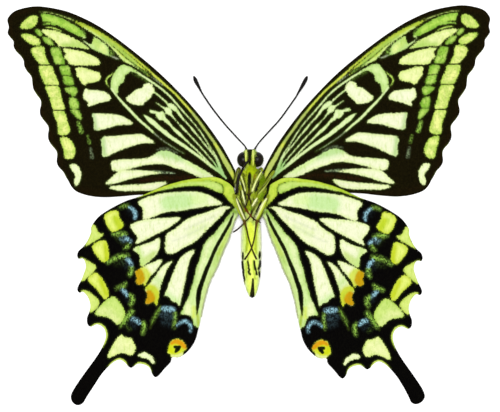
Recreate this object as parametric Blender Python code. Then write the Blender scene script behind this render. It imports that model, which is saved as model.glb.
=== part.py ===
"""Asian swallowtail butterfly, a life-size model of a spread specimen lying on its back.

The frame: +X to the right wing, +Y to the head, +Z out of the belly. The back of the thorax rests on z = 0,
and so do the drooping tips of the wings. Sizes are in millimetres and become metres as meshes are made.
"""
import math

import bmesh
import bpy
from mathutils import Vector
from mathutils.geometry import delaunay_2d_cdt, intersect_point_line

MM = 0.001
GAP = 0.3

# Wings: thickness of the membrane, and the veins: height on each face at the root, share of it lost at the
# reach, half width, and the steps of length between points along them
WING_THICK = 0.5
VEIN_RISE = 0.22
VEIN_FADE = 0.5
VEIN_REACH = 44.0
VEIN_HALF_WIDTH = 0.55
VEIN_STEP = 3.0
COSTA_STEP = 2.5
FORE_ROOT_Z = 1.0
HIND_ROOT_Z = 2.3
FORE_DROOP = {"start": 3.0, "end": 44.0, "power": 1.6}
HIND_DROOP = {"start": 0.0, "end": 46.0, "power": 2.2}
FORE_HINGE = (3.0, 4.5)
HIND_HINGE = (3.0, 1.0)
FORE_ROOT_Y = (6.1, 2.6)
HIND_ROOT_Y = (3.3, -0.4)
FORE_TURN = {-1: 0.0, 1: math.radians(0.3)}
HIND_TURN = {-1: 0.0, 1: math.radians(-1.4)}

# Body sections: y, centre x, half width, lowest z, highest z
THORAX = [
    (7.65, 0.25, 1.35, 2.0, 5.3),
    (7.2, 0.28, 2.1, 1.1, 6.1),
    (6.2, 0.32, 2.8, 0.2, 6.8),
    (4.5, 0.35, 3.2, -0.3, 7.0),
    (2.5, 0.35, 3.3, -0.3, 7.0),
    (0.5, 0.35, 3.1, -0.3, 6.8),
    (-1.2, 0.36, 2.6, 0.1, 6.5),
    (-2.3, 0.38, 2.1, 0.9, 6.1),
    (-2.9, 0.4, 1.8, 1.4, 5.7),
]
ABDOMEN = [
    (-3.2, 0.4, 1.78, 1.4, 5.6),
    (-4.6, 0.4, 1.98, 1.0, 5.6),
    (-7.0, 0.4, 2.1, 0.8, 5.5),
    (-10.0, 0.42, 2.1, 0.8, 5.4),
    (-13.0, 0.45, 1.95, 0.9, 5.2),
    (-15.5, 0.5, 1.6, 1.1, 4.9),
    (-17.4, 0.57, 1.05, 1.5, 4.4),
    (-18.4, 0.6, 0.62, 1.9, 3.9),
    (-18.85, 0.62, 0.25, 2.4, 3.4),
]
HEAD = [
    (7.95, 0.22, 0.95, 2.5, 4.9),
    (8.6, 0.22, 1.35, 2.2, 5.3),
    (9.6, 0.22, 1.65, 1.9, 5.5),
    (10.5, 0.22, 1.55, 2.0, 5.4),
    (11.2, 0.22, 1.15, 2.4, 5.0),
    (11.6, 0.22, 0.8, 2.8, 4.5),
]
SECTION_POWER = 2.3
BODY_SIDES = 24

LEG_STUB = 0.35

EYE_RADII = (1.3, 1.55, 1.6)
EYE_X = {-1: -1.2, 1: 1.65}
EYE_YZ = (9.52, 3.8)
EYE_FLAT_X = {-1: -0.75, 1: 1.2}

# Forewing outline as distance from the midline and y: leading edge, wavy outer margin, inner margin
FORE_COSTA = [
    (4.4, 10.1), (7.8, 15.7), (11.1, 20.1), (14.4, 23.5), (17.7, 26.7), (21.1, 29.7), (24.4, 32.5), (27.7, 34.9),
    (31.0, 37.1), (34.4, 38.8), (37.7, 40.2), (41.0, 40.9), (43.7, 41.2), (46.0, 40.9), (48.3, 40.2), (49.5, 39.2),
    (49.9, 38.3),
]
FORE_MARGIN = [
    (49.5, 37.0), (49.7, 35.5), (48.7, 34.2), (48.5, 32.9), (46.8, 31.2), (46.2, 29.2), (45.2, 27.7), (44.5, 26.0),
    (44.3, 24.0), (43.0, 22.4), (42.7, 20.7), (42.8, 19.0), (41.2, 16.9), (41.0, 15.4), (41.2, 13.7), (39.7, 11.7),
    (39.4, 10.1), (39.4, 8.4), (37.9, 6.7), (37.5, 5.1), (36.5, 3.4),
]
FORE_INNER = [(34.4, 2.6), (32.4, 2.1), (29.7, 1.8), (26.1, 2.0), (22.7, 2.3), (15.0, 2.5), (8.0, 2.5)]

# Hindwing outline: costal edge, scalloped outer margin with its tail and lobe, inner margin
HIND_COSTA = [
    (4.5, 5.1), (6.5, 5.8), (10.0, 5.8), (13.0, 5.5), (17.0, 4.6), (20.0, 3.2), (22.5, 2.1), (25.0, 1.3), (27.0, 0.4),
    (29.0, -0.7), (31.0, -2.1), (32.4, -4.0),
]
HIND_MARGIN = [
    (32.5, -5.2), (33.0, -6.5), (33.5, -7.4), (34.2, -8.3), (35.1, -9.1), (35.4, -10.0), (35.1, -10.7), (34.3, -10.6),
    (33.8, -11.2), (33.6, -12.4), (34.0, -13.7), (34.5, -15.0), (35.1, -16.1), (35.4, -17.0), (35.0, -17.7),
    (34.2, -17.5), (33.2, -18.6), (32.7, -20.2), (32.9, -21.6), (33.4, -22.9), (33.3, -24.2), (32.6, -24.7),
    (31.3, -24.2), (30.0, -24.9), (29.5, -26.3), (29.7, -28.0), (30.5, -29.8), (31.5, -31.6), (33.0, -33.9),
    (34.6, -36.1), (36.1, -38.1), (36.7, -39.3), (36.4, -40.4), (35.4, -40.9), (34.3, -40.5), (33.5, -39.2),
    (32.0, -36.9), (30.5, -34.6), (29.0, -32.9), (27.8, -31.9), (26.6, -31.5), (25.6, -32.1), (24.9, -32.9),
    (24.3, -33.2), (23.7, -32.8), (22.8, -32.3), (21.3, -32.6), (20.4, -33.3), (20.0, -34.4), (19.4, -35.1),
    (18.7, -34.8), (17.5, -33.4), (16.2, -32.0), (15.8, -31.0), (14.5, -31.2), (13.3, -30.6), (12.0, -29.0),
    (11.0, -27.2), (10.4, -25.0),
]
HIND_INNER = [
    (10.1, -22.0), (10.0, -19.0), (9.3, -16.5), (8.3, -14.0), (7.0, -11.3), (5.5, -7.8), (4.3, -4.5), (3.6, -1.9),
]

# Main veins of the forewing: radius, cubitus, cell end, then the branches out to the margin
FORE_VEINS = [
    [(4.3, 6.4), (7.0, 10.4), (10.0, 15.0), (15.5, 20.8), (20.0, 25.1), (23.0, 27.8), (26.2, 30.2)],
    [(4.6, 4.7), (9.0, 7.7), (14.5, 11.0), (20.6, 15.6), (25.6, 20.7), (27.2, 22.4)],
    [(26.2, 30.2), (28.6, 28.4), (29.2, 26.4), (28.7, 24.5), (27.2, 22.4)],
    [(10.0, 15.0), (16.0, 22.4), (22.0, 28.3), (28.0, 33.4), (31.5, 36.0)],
    [(26.2, 30.2), (29.5, 33.0), (33.0, 35.5), (37.0, 38.2), (41.0, 39.4), (44.4, 40.0)],
    [(26.2, 30.2), (30.2, 31.4), (33.5, 33.3), (37.0, 35.7), (40.0, 36.9), (44.0, 36.8), (48.6, 36.1)],
    [(30.2, 31.4), (33.3, 32.1), (38.0, 32.6), (43.0, 33.0), (47.5, 32.9)],
    [(28.6, 28.4), (32.0, 28.5), (36.0, 28.8), (41.0, 28.9), (45.0, 29.0)],
    [(28.7, 24.5), (31.5, 24.6), (35.0, 24.6), (39.0, 24.8), (43.3, 24.9)],
    [(25.6, 20.7), (28.5, 20.3), (32.5, 19.8), (37.0, 19.8), (41.8, 19.8)],
    [(20.6, 15.6), (24.0, 15.7), (28.0, 15.1), (32.0, 14.8), (36.5, 14.4), (40.2, 14.4)],
    [(14.5, 11.0), (17.3, 12.0), (21.0, 11.8), (25.0, 10.9), (30.0, 9.6), (34.5, 9.2), (38.3, 9.3)],
    [(4.6, 3.7), (9.0, 5.5), (14.0, 6.0), (19.0, 5.6), (25.0, 4.8), (31.0, 4.2), (35.7, 4.2)],
]

# Main veins of the hindwing: costal vein, radial sector, cell end, cubitus, then the branches out to the margin
HIND_VEINS = [
    [(4.6, 1.8), (5.6, 3.0), (8.0, 3.8), (12.0, 4.0), (16.0, 3.4), (20.0, 2.1), (24.0, 0.6), (27.0, -1.0)],
    [(4.5, 0.1), (8.0, -0.6), (13.2, -1.7), (16.5, -2.0), (20.0, -2.7), (24.0, -3.9), (28.0, -5.3), (31.0, -6.8),
     (34.2, -9.4)],
    [(13.2, -1.7), (15.5, -3.9), (17.6, -5.6), (20.0, -6.7), (23.0, -8.0), (26.0, -9.2), (28.5, -10.8),
     (31.5, -13.4), (34.3, -16.5)],
    [(17.6, -5.6), (17.9, -7.9), (17.6, -10.1)],
    [(4.6, -1.2), (6.0, -3.0), (9.0, -6.2), (11.3, -8.0), (13.4, -9.2), (15.6, -9.9), (17.6, -10.1)],
    [(17.6, -10.1), (20.0, -11.3), (23.0, -12.9), (25.5, -15.0), (28.0, -17.3), (30.7, -20.0), (32.5, -23.3)],
    [(17.6, -10.1), (19.0, -12.7), (21.5, -16.3), (24.3, -20.5), (26.4, -24.6), (28.9, -29.3), (31.7, -33.9),
     (35.1, -39.0)],
    [(15.6, -9.9), (17.0, -14.0), (18.5, -18.0), (20.5, -23.0), (22.3, -28.0), (24.1, -32.2)],
    [(11.3, -8.0), (12.2, -13.0), (13.2, -17.0), (14.5, -21.5), (16.3, -27.0), (19.0, -33.8)],
    [(5.0, -3.4), (6.3, -6.6), (8.7, -11.8), (10.4, -16.0), (11.2, -20.0), (11.5, -24.0), (12.6, -28.0)],
]

# Routes of the antennae: x, y, z, radius
ANTENNAE = {
    -1: [(-0.55, 12.0, 3.4, 0.25), (-2.5, 14.0, 3.3, 0.25), (-5.0, 17.0, 3.3, 0.25), (-7.5, 20.2, 3.4, 0.25),
         (-9.7, 23.3, 3.6, 0.26), (-10.5, 24.8, 3.8, 0.34), (-11.1, 26.1, 3.9, 0.38), (-11.35, 26.7, 4.0, 0.2)],
    1: [(1.1, 11.9, 3.4, 0.25), (2.4, 13.4, 3.3, 0.25), (4.5, 15.6, 3.3, 0.25), (6.5, 17.9, 3.4, 0.25),
        (9.5, 22.3, 3.6, 0.26), (10.7, 24.3, 3.8, 0.34), (11.5, 25.9, 3.9, 0.38), (11.85, 26.6, 4.0, 0.2)],
}

# Palps lie along the face; the proboscis has come uncoiled and lies over the breast
PALPS = {
    -1: [(-0.66, 9.4, 5.85, 0.2), (-0.66, 9.9, 6.02, 0.32), (-0.66, 10.5, 6.0, 0.33), (-0.64, 11.2, 5.6, 0.28),
         (-0.62, 11.55, 5.25, 0.14)],
    1: [(0.8, 8.5, 5.85, 0.2), (0.84, 9.3, 6.06, 0.33), (0.82, 10.4, 6.06, 0.34), (0.8, 11.15, 5.65, 0.28),
        (0.8, 11.5, 5.3, 0.14)],
}
PROBOSCIS = [
    (0.03, 9.8, 5.95, 0.18), (0.03, 9.3, 6.3, 0.22), (-0.5, 8.8, 7.0, 0.27), (-1.15, 7.85, 7.7, 0.28),
    (-1.65, 6.8, 8.0, 0.28), (-2.05, 5.9, 8.1, 0.28), (-2.35, 4.4, 8.0, 0.28), (-2.55, 2.7, 7.9, 0.24),
]

# Legs: the place of the root on the breast, then the route x, y, z, radius out to the claws
LEGS = {
    "leg_fore_left": ((-0.7, 6.2), [
        (-0.9, 6.65, 7.15, 0.26), (-1.25, 7.0, 7.0, 0.24), (-1.55, 6.6, 6.95, 0.24), (-1.45, 5.6, 7.3, 0.24),
        (-0.8, 3.0, 7.6, 0.22), (-0.35, 2.3, 7.55, 0.16), (0.05, 1.6, 7.5, 0.15), (0.35, 0.5, 7.5, 0.12)]),
    "leg_fore_right": ((1.3, 6.2), [
        (1.6, 6.75, 7.05, 0.26), (2.2, 7.55, 6.7, 0.25), (2.65, 7.75, 6.6, 0.24), (2.75, 7.2, 6.7, 0.24),
        (2.2, 6.0, 7.3, 0.24), (0.62, 3.0, 8.1, 0.22), (0.1, 2.2, 8.2, 0.16), (-0.25, 1.4, 8.1, 0.15),
        (-0.5, 0.3, 8.0, 0.12)]),
    "leg_mid_left": ((-1.75, 2.4), [
        (-2.15, 3.0, 7.0, 0.3), (-2.9, 4.4, 6.1, 0.3), (-2.95, 5.8, 5.7, 0.29), (-2.6, 7.2, 5.7, 0.27),
        (-2.25, 7.7, 5.8, 0.26), (-1.95, 7.45, 6.1, 0.26), (-1.97, 6.2, 6.4, 0.26), (-2.0, 4.6, 6.85, 0.26),
        (-1.8, 3.0, 7.35, 0.25), (-1.45, 0.9, 8.05, 0.22), (-1.05, -0.5, 8.1, 0.17), (0.2, -1.9, 7.6, 0.15),
        (1.0, -2.6, 7.9, 0.15), (1.7, -3.1, 8.0, 0.14), (2.35, -3.45, 7.7, 0.11)]),
    "leg_mid_right": ((1.75, 1.5), [
        (2.15, 2.2, 7.15, 0.3), (3.2, 4.2, 6.6, 0.3), (4.3, 6.1, 6.0, 0.28), (4.85, 6.95, 5.9, 0.26),
        (5.15, 7.15, 6.3, 0.26), (4.85, 6.7, 6.75, 0.26), (4.1, 5.6, 7.0, 0.26), (2.9, 3.7, 7.5, 0.26),
        (1.75, 1.8, 8.1, 0.25), (0.9, 0.0, 8.3, 0.2), (0.3, -1.8, 8.3, 0.17), (-0.6, -3.0, 8.15, 0.15),
        (-2.2, -4.6, 7.2, 0.14), (-3.2, -5.3, 6.6, 0.11)]),
    "leg_hind_left": ((-0.65, -0.9), [
        (-1.05, -0.3, 7.25, 0.32), (-1.9, 0.75, 7.0, 0.31), (-2.75, 1.9, 6.4, 0.3), (-3.2, 2.35, 6.0, 0.28),
        (-3.45, 2.0, 5.9, 0.28), (-3.0, 0.9, 6.3, 0.29), (-1.9, -1.2, 6.95, 0.28), (-1.0, -3.1, 7.1, 0.24),
        (-0.55, -4.4, 6.6, 0.18), (-0.1, -6.4, 6.2, 0.17), (0.5, -8.6, 6.1, 0.16), (1.5, -10.7, 5.95, 0.12)]),
    "leg_hind_right": ((1.35, -0.9), [
        (1.75, -0.3, 7.2, 0.32), (2.6, 0.75, 6.9, 0.31), (3.4, 1.9, 6.3, 0.3), (3.85, 2.35, 5.9, 0.28),
        (4.15, 2.0, 5.8, 0.28), (3.65, 0.9, 6.3, 0.3), (2.6, -1.4, 6.9, 0.3), (1.75, -3.2, 7.1, 0.25),
        (1.35, -4.6, 6.7, 0.18), (1.05, -6.5, 6.5, 0.17), (0.55, -8.3, 6.75, 0.16), (-0.2, -9.9, 6.4, 0.15),
        (-0.9, -10.9, 5.9, 0.12)]),
}

COLOURS = {
    "scales_black": (0.02, 0.016, 0.012, 0.75),
    "wing_pale": (0.72, 0.86, 0.42, 0.7),
    "body_yellow": (0.5, 0.6, 0.1, 0.8),
    "eye": (0.025, 0.014, 0.01, 0.25),
    "leg": (0.38, 0.42, 0.12, 0.6),
    "proboscis": (0.05, 0.03, 0.02, 0.5),
}


def clear_scene():
    for thing in list(bpy.data.objects):
        bpy.data.objects.remove(thing, do_unlink=True)


def new_collection(name):
    collection = bpy.data.collections.new(name)
    bpy.context.scene.collection.children.link(collection)
    return collection


def material(node, finish):
    red, green, blue, roughness = COLOURS[finish]
    mat = bpy.data.materials.new(f"{node}_{finish}")
    mat.use_nodes = True
    shader = mat.node_tree.nodes["Principled BSDF"]
    shader.inputs["Base Color"].default_value = (red, green, blue, 1.0)
    shader.inputs["Roughness"].default_value = roughness
    shader.inputs["Metallic"].default_value = 0.0
    mat.diffuse_color = (red, green, blue, 1.0)
    return mat


def spline_samples(points, step):
    """Points on a smooth curve through the given ones, about one for each step of length."""
    samples = []
    last = len(points) - 1
    for i in range(last):
        p0, p1, p2, p3 = (Vector(points[j]) for j in (max(i - 1, 0), i, i + 1, min(i + 2, last)))
        pieces = max(1, round((p2 - p1).length / step))
        for k in range(pieces):
            t = k / pieces
            samples.append(0.5 * (2 * p1 + (p2 - p0) * t + (2 * p0 - 5 * p1 + 4 * p2 - p3) * t ** 2
                                  + (3 * p1 - p0 - 3 * p2 + p3) * t ** 3))
    samples.append(Vector(points[last]))
    return samples


def section(rings, y):
    """Centre x, half width, lowest z and highest z of a body at y."""
    for near, far in zip(rings, rings[1:]):
        if far[0] <= y <= near[0]:
            share = (near[0] - y) / (near[0] - far[0])
            return [a + (b - a) * share for a, b in zip(near[1:], far[1:])]
    raise ValueError(f"y {y} is outside the body")


def half_width(rings, y, z):
    _, width, low, high = section(rings, y)
    rise = abs(z - (low + high) / 2) / ((high - low) / 2)
    return width * (1 - min(rise, 1.0) ** SECTION_POWER) ** (1 / SECTION_POWER)


def belly_z(rings, x, y):
    centre, width, low, high = section(rings, y)
    offset = min(abs(x - centre) / width, 1.0)
    return (low + high) / 2 + (high - low) / 2 * (1 - offset ** SECTION_POWER) ** (1 / SECTION_POWER)


def signed_power(value, power):
    return math.copysign(abs(value) ** power, value)


def finish_mesh(name, bm, finish, collection):
    bmesh.ops.recalc_face_normals(bm, faces=bm.faces[:])
    mesh = bpy.data.meshes.new(name)
    bm.to_mesh(mesh)
    bm.free()
    mesh.shade_smooth()
    mesh.set_sharp_from_angle(angle=math.radians(50))
    thing = bpy.data.objects.new(name, mesh)
    thing.data.materials.append(material(name, finish))
    collection.objects.link(thing)
    return thing


def body(name, rings, finish, collection, segments=0, groove=0.0):
    """A loft through oval sections, flattened where it would pass below the floor."""
    bm = bmesh.new()
    loops = []
    first, last = rings[0][0], rings[-1][0]
    for y, centre, width, low, high in rings:
        phase = segments * (first - y) / (first - last)
        pinch = 1 - groove * max(0.0, math.cos(2 * math.pi * phase)) ** 3 if segments else 1.0
        loop = []
        for k in range(BODY_SIDES):
            angle = 2 * math.pi * k / BODY_SIDES
            x = centre + pinch * width * signed_power(math.cos(angle), 2 / SECTION_POWER)
            z = (low + high) / 2 + pinch * (high - low) / 2 * signed_power(math.sin(angle), 2 / SECTION_POWER)
            loop.append(bm.verts.new(Vector((x, y, max(z, 0.0))) * MM))
        loops.append(loop)
    for loop, following in zip(loops, loops[1:]):
        for k in range(BODY_SIDES):
            after = (k + 1) % BODY_SIDES
            bm.faces.new((loop[k], loop[after], following[after], following[k]))
    bm.faces.new(loops[0])
    bm.faces.new(loops[-1])
    return finish_mesh(name, bm, finish, collection)


def tube(name, route, step, finish, collection):
    """A tapered tube through a route of x, y, z, radius."""
    curve = bpy.data.curves.new(name, "CURVE")
    curve.dimensions = "3D"
    curve.bevel_depth = MM
    curve.bevel_resolution = 2
    curve.use_fill_caps = True
    samples = spline_samples(route, step)
    spline = curve.splines.new("POLY")
    spline.points.add(len(samples) - 1)
    for point, sample in zip(spline.points, samples):
        point.co = (sample[0] * MM, sample[1] * MM, sample[2] * MM, 1.0)
        point.radius = sample[3]
    thing = bpy.data.objects.new(name, curve)
    curve.materials.append(material(name, finish))
    collection.objects.link(thing)
    return thing


def eye_form(side, grow):
    """An eye as a bmesh: an ellipsoid whose inner side is cut flat, all of it grown by a distance."""
    bm = bmesh.new()
    bmesh.ops.create_uvsphere(bm, u_segments=20, v_segments=12, radius=1.0)
    for vert in bm.verts:
        vert.co = Vector((EYE_X[side] + vert.co.x * (EYE_RADII[0] + grow),
                          EYE_YZ[0] + vert.co.y * (EYE_RADII[1] + grow),
                          EYE_YZ[1] + vert.co.z * (EYE_RADII[2] + grow))) * MM
    cut = bmesh.ops.bisect_plane(bm, geom=bm.verts[:] + bm.edges[:] + bm.faces[:], dist=1e-7,
                                 plane_co=((EYE_FLAT_X[side] - side * grow) * MM, 0, 0),
                                 plane_no=(-side, 0, 0), clear_outer=True)
    rim = [item for item in cut["geom_cut"] if isinstance(item, bmesh.types.BMEdge)]
    bmesh.ops.contextual_create(bm, geom=rim)
    return bm


def head_and_eyes(collection, cutters):
    head = body("head", spline_samples(HEAD, 0.5), "body_yellow", collection)
    for side, word in ((-1, "left"), (1, "right")):
        finish_mesh(f"eye_{word}", eye_form(side, 0.0), "eye", collection)
        socket = finish_mesh(f"cutter_socket_{word}", eye_form(side, GAP), "eye", cutters)
        socket.hide_render = True
        socket.display_type = "WIRE"
        cut = head.modifiers.new(f"socket_{word}", "BOOLEAN")
        cut.object = socket
        cut.operation = "DIFFERENCE"


def turned(point, hinge, angle, side):
    """A point given by its distance from the midline and y, turned forward about the hinge and set on a side."""
    out, up = point[0] - hinge[0], point[1] - hinge[1]
    x = hinge[0] + out * math.cos(angle) - up * math.sin(angle)
    y = hinge[1] + out * math.sin(angle) + up * math.cos(angle)
    return Vector((side * x, y))


def root_edge(thorax, side, span, z, pieces=4):
    """Points of a wing's root, a gap away from the side of the thorax, from the inner margin to the costa."""
    edge = []
    for k in range(pieces + 1):
        y = span[1] + (span[0] - span[1]) * k / pieces
        centre = section(thorax, y)[0]
        edge.append(Vector((centre + side * (half_width(thorax, y, z) + GAP), y)))
    return edge


def nearest(point, lines):
    """Distance from a point to the nearest of some broken lines."""
    best = math.inf
    for line in lines:
        for start, end in zip(line, line[1:]):
            foot, share = intersect_point_line(point, start, end)
            foot = start if share < 0 else end if share > 1 else Vector(foot[:2])
            best = min(best, (point - foot).length)
    return best


def inside(point, outline):
    result = False
    for a, b in zip(outline, outline[1:] + outline[:1]):
        if (a.y > point.y) != (b.y > point.y) and point.x < (b.x - a.x) * (point.y - a.y) / (b.y - a.y) + a.x:
            result = not result
    return result


def fill_points(outline, taken, pitch, clear):
    """Loose points on a triangular grid inside an outline, clear of the points that are there already."""
    points = []
    low_x, high_x = min(p.x for p in outline), max(p.x for p in outline)
    low_y, high_y = min(p.y for p in outline), max(p.y for p in outline)
    for row in range(int((high_y - low_y) / pitch) + 1):
        for column in range(int((high_x - low_x) / pitch) + 1):
            point = Vector((low_x + (column + 0.5 * (row % 2)) * pitch, low_y + row * pitch))
            if inside(point, outline) and all((point - other).length > clear for other in taken):
                points.append(point)
    return points


def drooped(height, droop, reach):
    """Height of a wing's lower face at a distance from the root, level on the floor past the end."""
    share = (reach - droop["start"]) / (droop["end"] - droop["start"])
    return height * (1 - min(max(share, 0.0), 1.0) ** droop["power"])


def vein_sides(outline, veins):
    """Points along both sides of the veins, where their ridges meet the membrane."""
    border = outline + outline[:1]
    points = []
    for line in veins:
        for before, here, after in zip(line[:1] + line, line, line[1:] + line[-1:]):
            along = (after - before).normalized()
            for across in (Vector((-along.y, along.x)), Vector((along.y, -along.x))):
                point = here + across * VEIN_HALF_WIDTH
                if (inside(point, outline) and nearest(point, [border]) > VEIN_HALF_WIDTH / 2
                        and nearest(point, veins) > VEIN_HALF_WIDTH * 0.8
                        and all((point - other).length > VEIN_HALF_WIDTH / 2 for other in points)):
                    points.append(point)
    return points


def wing(name, outline, costa, veins, root, lower, collection):
    """A membrane over an outline, its veins and leading edge raised in both faces, with triangles alike on both."""
    points = list(outline)
    edges = [(k, (k + 1) % len(outline)) for k in range(len(outline))]
    places = {}
    for line in veins:
        numbers = []
        for point in line:
            key = (round(point.x, 3), round(point.y, 3))
            if key not in places:
                places[key] = len(points)
                points.append(point)
            numbers.append(places[key])
        edges += list(zip(numbers, numbers[1:]))
    points += vein_sides(outline, [costa] + veins)
    points += fill_points(outline, points, 3.6, 1.7)
    flat, _, faces, _, _, _ = delaunay_2d_cdt(points, edges, [], 0, 1e-5, False)
    faces = [face for face in faces if inside(sum((flat[k] for k in face), Vector((0, 0))) / 3, outline)]
    rise = []
    for point in flat:
        height = VEIN_RISE * (1 - VEIN_FADE * min((point - root).length / VEIN_REACH, 1.0))
        rise.append(height * max(0.0, 1 - nearest(point, [costa] + veins) / VEIN_HALF_WIDTH))
    bm = bmesh.new()
    bottom = [bm.verts.new(Vector((p.x, p.y, max(lower(p) - up, 0.0))) * MM) for p, up in zip(flat, rise)]
    sheet = [bm.faces.new([bottom[k] for k in face]) for face in faces]
    tops = {vert.co.xy.to_tuple(): lower(p) + WING_THICK + up for vert, p, up in zip(bottom, flat, rise)}
    used = {vert for face in sheet for vert in face.verts}
    bmesh.ops.delete(bm, geom=[vert for vert in bottom if vert not in used], context="VERTS")
    raised = bmesh.ops.extrude_face_region(bm, geom=sheet, use_keep_orig=True)
    for item in raised["geom"]:
        if isinstance(item, bmesh.types.BMVert):
            item.co.z = tops[item.co.xy.to_tuple()] * MM
    return finish_mesh(name, bm, "wing_pale", collection)


def forewing(thorax, side, word, collection):
    def placed(points):
        return [turned(p, FORE_HINGE, FORE_TURN[side], side) for p in points]

    costa = placed(spline_samples(FORE_COSTA, COSTA_STEP))
    outline = costa + placed(FORE_MARGIN + FORE_INNER)
    outline += root_edge(thorax, side, FORE_ROOT_Y, FORE_ROOT_Z + WING_THICK)
    veins = [placed(spline_samples(line, VEIN_STEP)) for line in FORE_VEINS]
    root = Vector((side * FORE_HINGE[0], FORE_HINGE[1]))
    wing(f"forewing_{word}", outline, costa, veins, root,
         lambda p: drooped(FORE_ROOT_Z, FORE_DROOP, abs(p.x)), collection)


def hindwing(thorax, side, word, collection):
    def placed(points):
        return [turned(p, HIND_HINGE, HIND_TURN[side], side) for p in points]

    costa = placed(spline_samples(HIND_COSTA, COSTA_STEP))
    outline = costa + placed(HIND_MARGIN + HIND_INNER)
    outline += root_edge(thorax, side, HIND_ROOT_Y, HIND_ROOT_Z + WING_THICK)
    veins = [placed(spline_samples(line, VEIN_STEP)) for line in HIND_VEINS]
    root = Vector((side * HIND_HINGE[0], HIND_HINGE[1]))
    wing(f"hindwing_{word}", outline, costa, veins, root,
         lambda p: drooped(HIND_ROOT_Z, HIND_DROOP, (p - root).length), collection)


def legs(thorax, collection):
    """Each leg leaves the breast at right angles, a gap away from it, and then follows its route."""
    for name, ((x, y), route) in LEGS.items():
        skin = Vector((x, y, belly_z(thorax, x, y)))
        across = belly_z(thorax, x + LEG_STUB, y) - belly_z(thorax, x - LEG_STUB, y)
        along = belly_z(thorax, x, y + LEG_STUB) - belly_z(thorax, x, y - LEG_STUB)
        outward = Vector((-across, -along, 2 * LEG_STUB)).normalized()
        root = [(*(skin + outward * reach), route[0][3]) for reach in (GAP, GAP + LEG_STUB)]
        tube(name, root + route, 0.7, "leg", collection)


def build():
    clear_scene()
    collection = new_collection("asian_swallowtail")
    cutters = new_collection("cutters")
    thorax = spline_samples(THORAX, 0.7)
    body("thorax", thorax, "body_yellow", collection)
    body("abdomen", spline_samples(ABDOMEN, 0.6), "body_yellow", collection, segments=9, groove=0.05)
    head_and_eyes(collection, cutters)
    for side, word in ((-1, "left"), (1, "right")):
        tube(f"antenna_{word}", ANTENNAE[side], 1.6, "scales_black", collection)
        tube(f"palp_{word}", PALPS[side], 0.4, "body_yellow", collection)
        forewing(thorax, side, word, collection)
        hindwing(thorax, side, word, collection)
    tube("proboscis", PROBOSCIS, 0.6, "proboscis", collection)
    legs(thorax, collection)


build()
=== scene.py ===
"""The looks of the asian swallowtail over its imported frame.

Fine wings, one furred skin for the body, eyes, antennae, palps, proboscis and legs. The outlines and markings
are in millimetres: distance from the midline and y on a wing before it is turned, and the frame's x, y and z
on the body. Meshes are made in metres.
"""
import math

import bpy
import numpy as np
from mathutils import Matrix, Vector
from mathutils.geometry import delaunay_2d_cdt


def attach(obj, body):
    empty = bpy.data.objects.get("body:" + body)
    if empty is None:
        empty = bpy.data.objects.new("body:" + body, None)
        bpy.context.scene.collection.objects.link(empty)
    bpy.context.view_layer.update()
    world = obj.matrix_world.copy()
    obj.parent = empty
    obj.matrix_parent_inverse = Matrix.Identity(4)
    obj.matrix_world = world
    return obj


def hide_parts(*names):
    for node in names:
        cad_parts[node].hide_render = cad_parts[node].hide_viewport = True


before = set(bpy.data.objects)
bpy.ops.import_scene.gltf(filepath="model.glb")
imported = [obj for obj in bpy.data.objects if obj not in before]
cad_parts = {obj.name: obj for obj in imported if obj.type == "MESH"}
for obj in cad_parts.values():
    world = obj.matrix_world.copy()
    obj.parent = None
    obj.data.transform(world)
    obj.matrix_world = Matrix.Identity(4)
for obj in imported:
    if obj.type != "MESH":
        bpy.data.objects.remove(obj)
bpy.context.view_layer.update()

MM = 0.001
SIDES = ((-1, "left"), (1, "right"))

# The light is this much brighter than white paper needs, so that the floor stays white between the wings.
# Colours are written as they look in it.
LIGHT_GAIN = 1.4

# The wings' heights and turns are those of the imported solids, save that both hindwings and the right forewing
# are drawn where the photo shows them: shifted by up to half a millimetre, and the right hindwing less turned
FORE = {"root_z": 1.0, "start": 3.0, "end": 44.0, "power": 1.6, "hinge": (3.0, 4.5),
        "turn": {-1: 0.0, 1: math.radians(0.3)}, "shift": {-1: (0.0, 0.0), 1: (0.3, 0.0)},
        "lift": {-1: 0.0, 1: 0.35}}
HIND = {"root_z": 2.3, "start": 0.0, "end": 46.0, "power": 2.2, "hinge": (3.0, 1.0),
        "turn": {-1: 0.0, 1: math.radians(-0.8)}, "shift": {-1: (0.0, -0.15), 1: (0.45, -0.2)},
        "lift": {-1: 0.0, 1: 0.0}}

# The right forewing: distance from the hinge where it has its whole shift, where its lift ends and how long
# that fades, and where its tip begins to be blunter, so that it ends where the solids' tips do
ROOT_REACH = 9.0
LIFT_END = 27.0
LIFT_FADE = 13.0
TIP = 47.5
TIP_END = 49.72
# The right tail: where it begins to lean in, how much, and how much shorter it is
TAIL_FROM = -37.5
TAIL_LEAN = 0.2
TAIL_SHORTER = 0.17

# The fine wing: spacing of its points, height of its rows as a share of that, thickness, and lift over the
# solid's lower face
PITCH = 0.3
ROW_SHARE = 0.866
MEMBRANE = 0.14
MEMBRANE_LIFT = 0.16
# Rise and half width of a vein on each face, and rise of the pleat between veins and how far it takes
VEIN_RISE = 0.1
VEIN_WIDTH = 0.3
PLEAT = 0.07
PLEAT_REACH = 2.0
# Towards the margin the membrane thins and the veins sink: share left at the margin, and how far it takes
RIM_SHARE = 0.35
RIM_FADE = 0.6
VEIN_SHARE = 0.15
VEIN_FADE = 1.5
# Lowest places of a wing and of everything else
LOWEST_WING = 0.01
LOWEST = 0.02
# Distances are measured up to the reach; far stands for anything beyond it
REACH = 2.0
FAR = 9.0
# Steps along the drawn curves
OUTLINE_STEP = 0.3
PATCH_STEP = 0.4
STROKE_STEP = 0.5
VEIN_STEP = 1.0
BODY_STROKE_STEP = 0.3
# Outline points looked at together, and the distance at which two points are one
EDGE_BLOCK = 12
WELD = 1e-6
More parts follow.
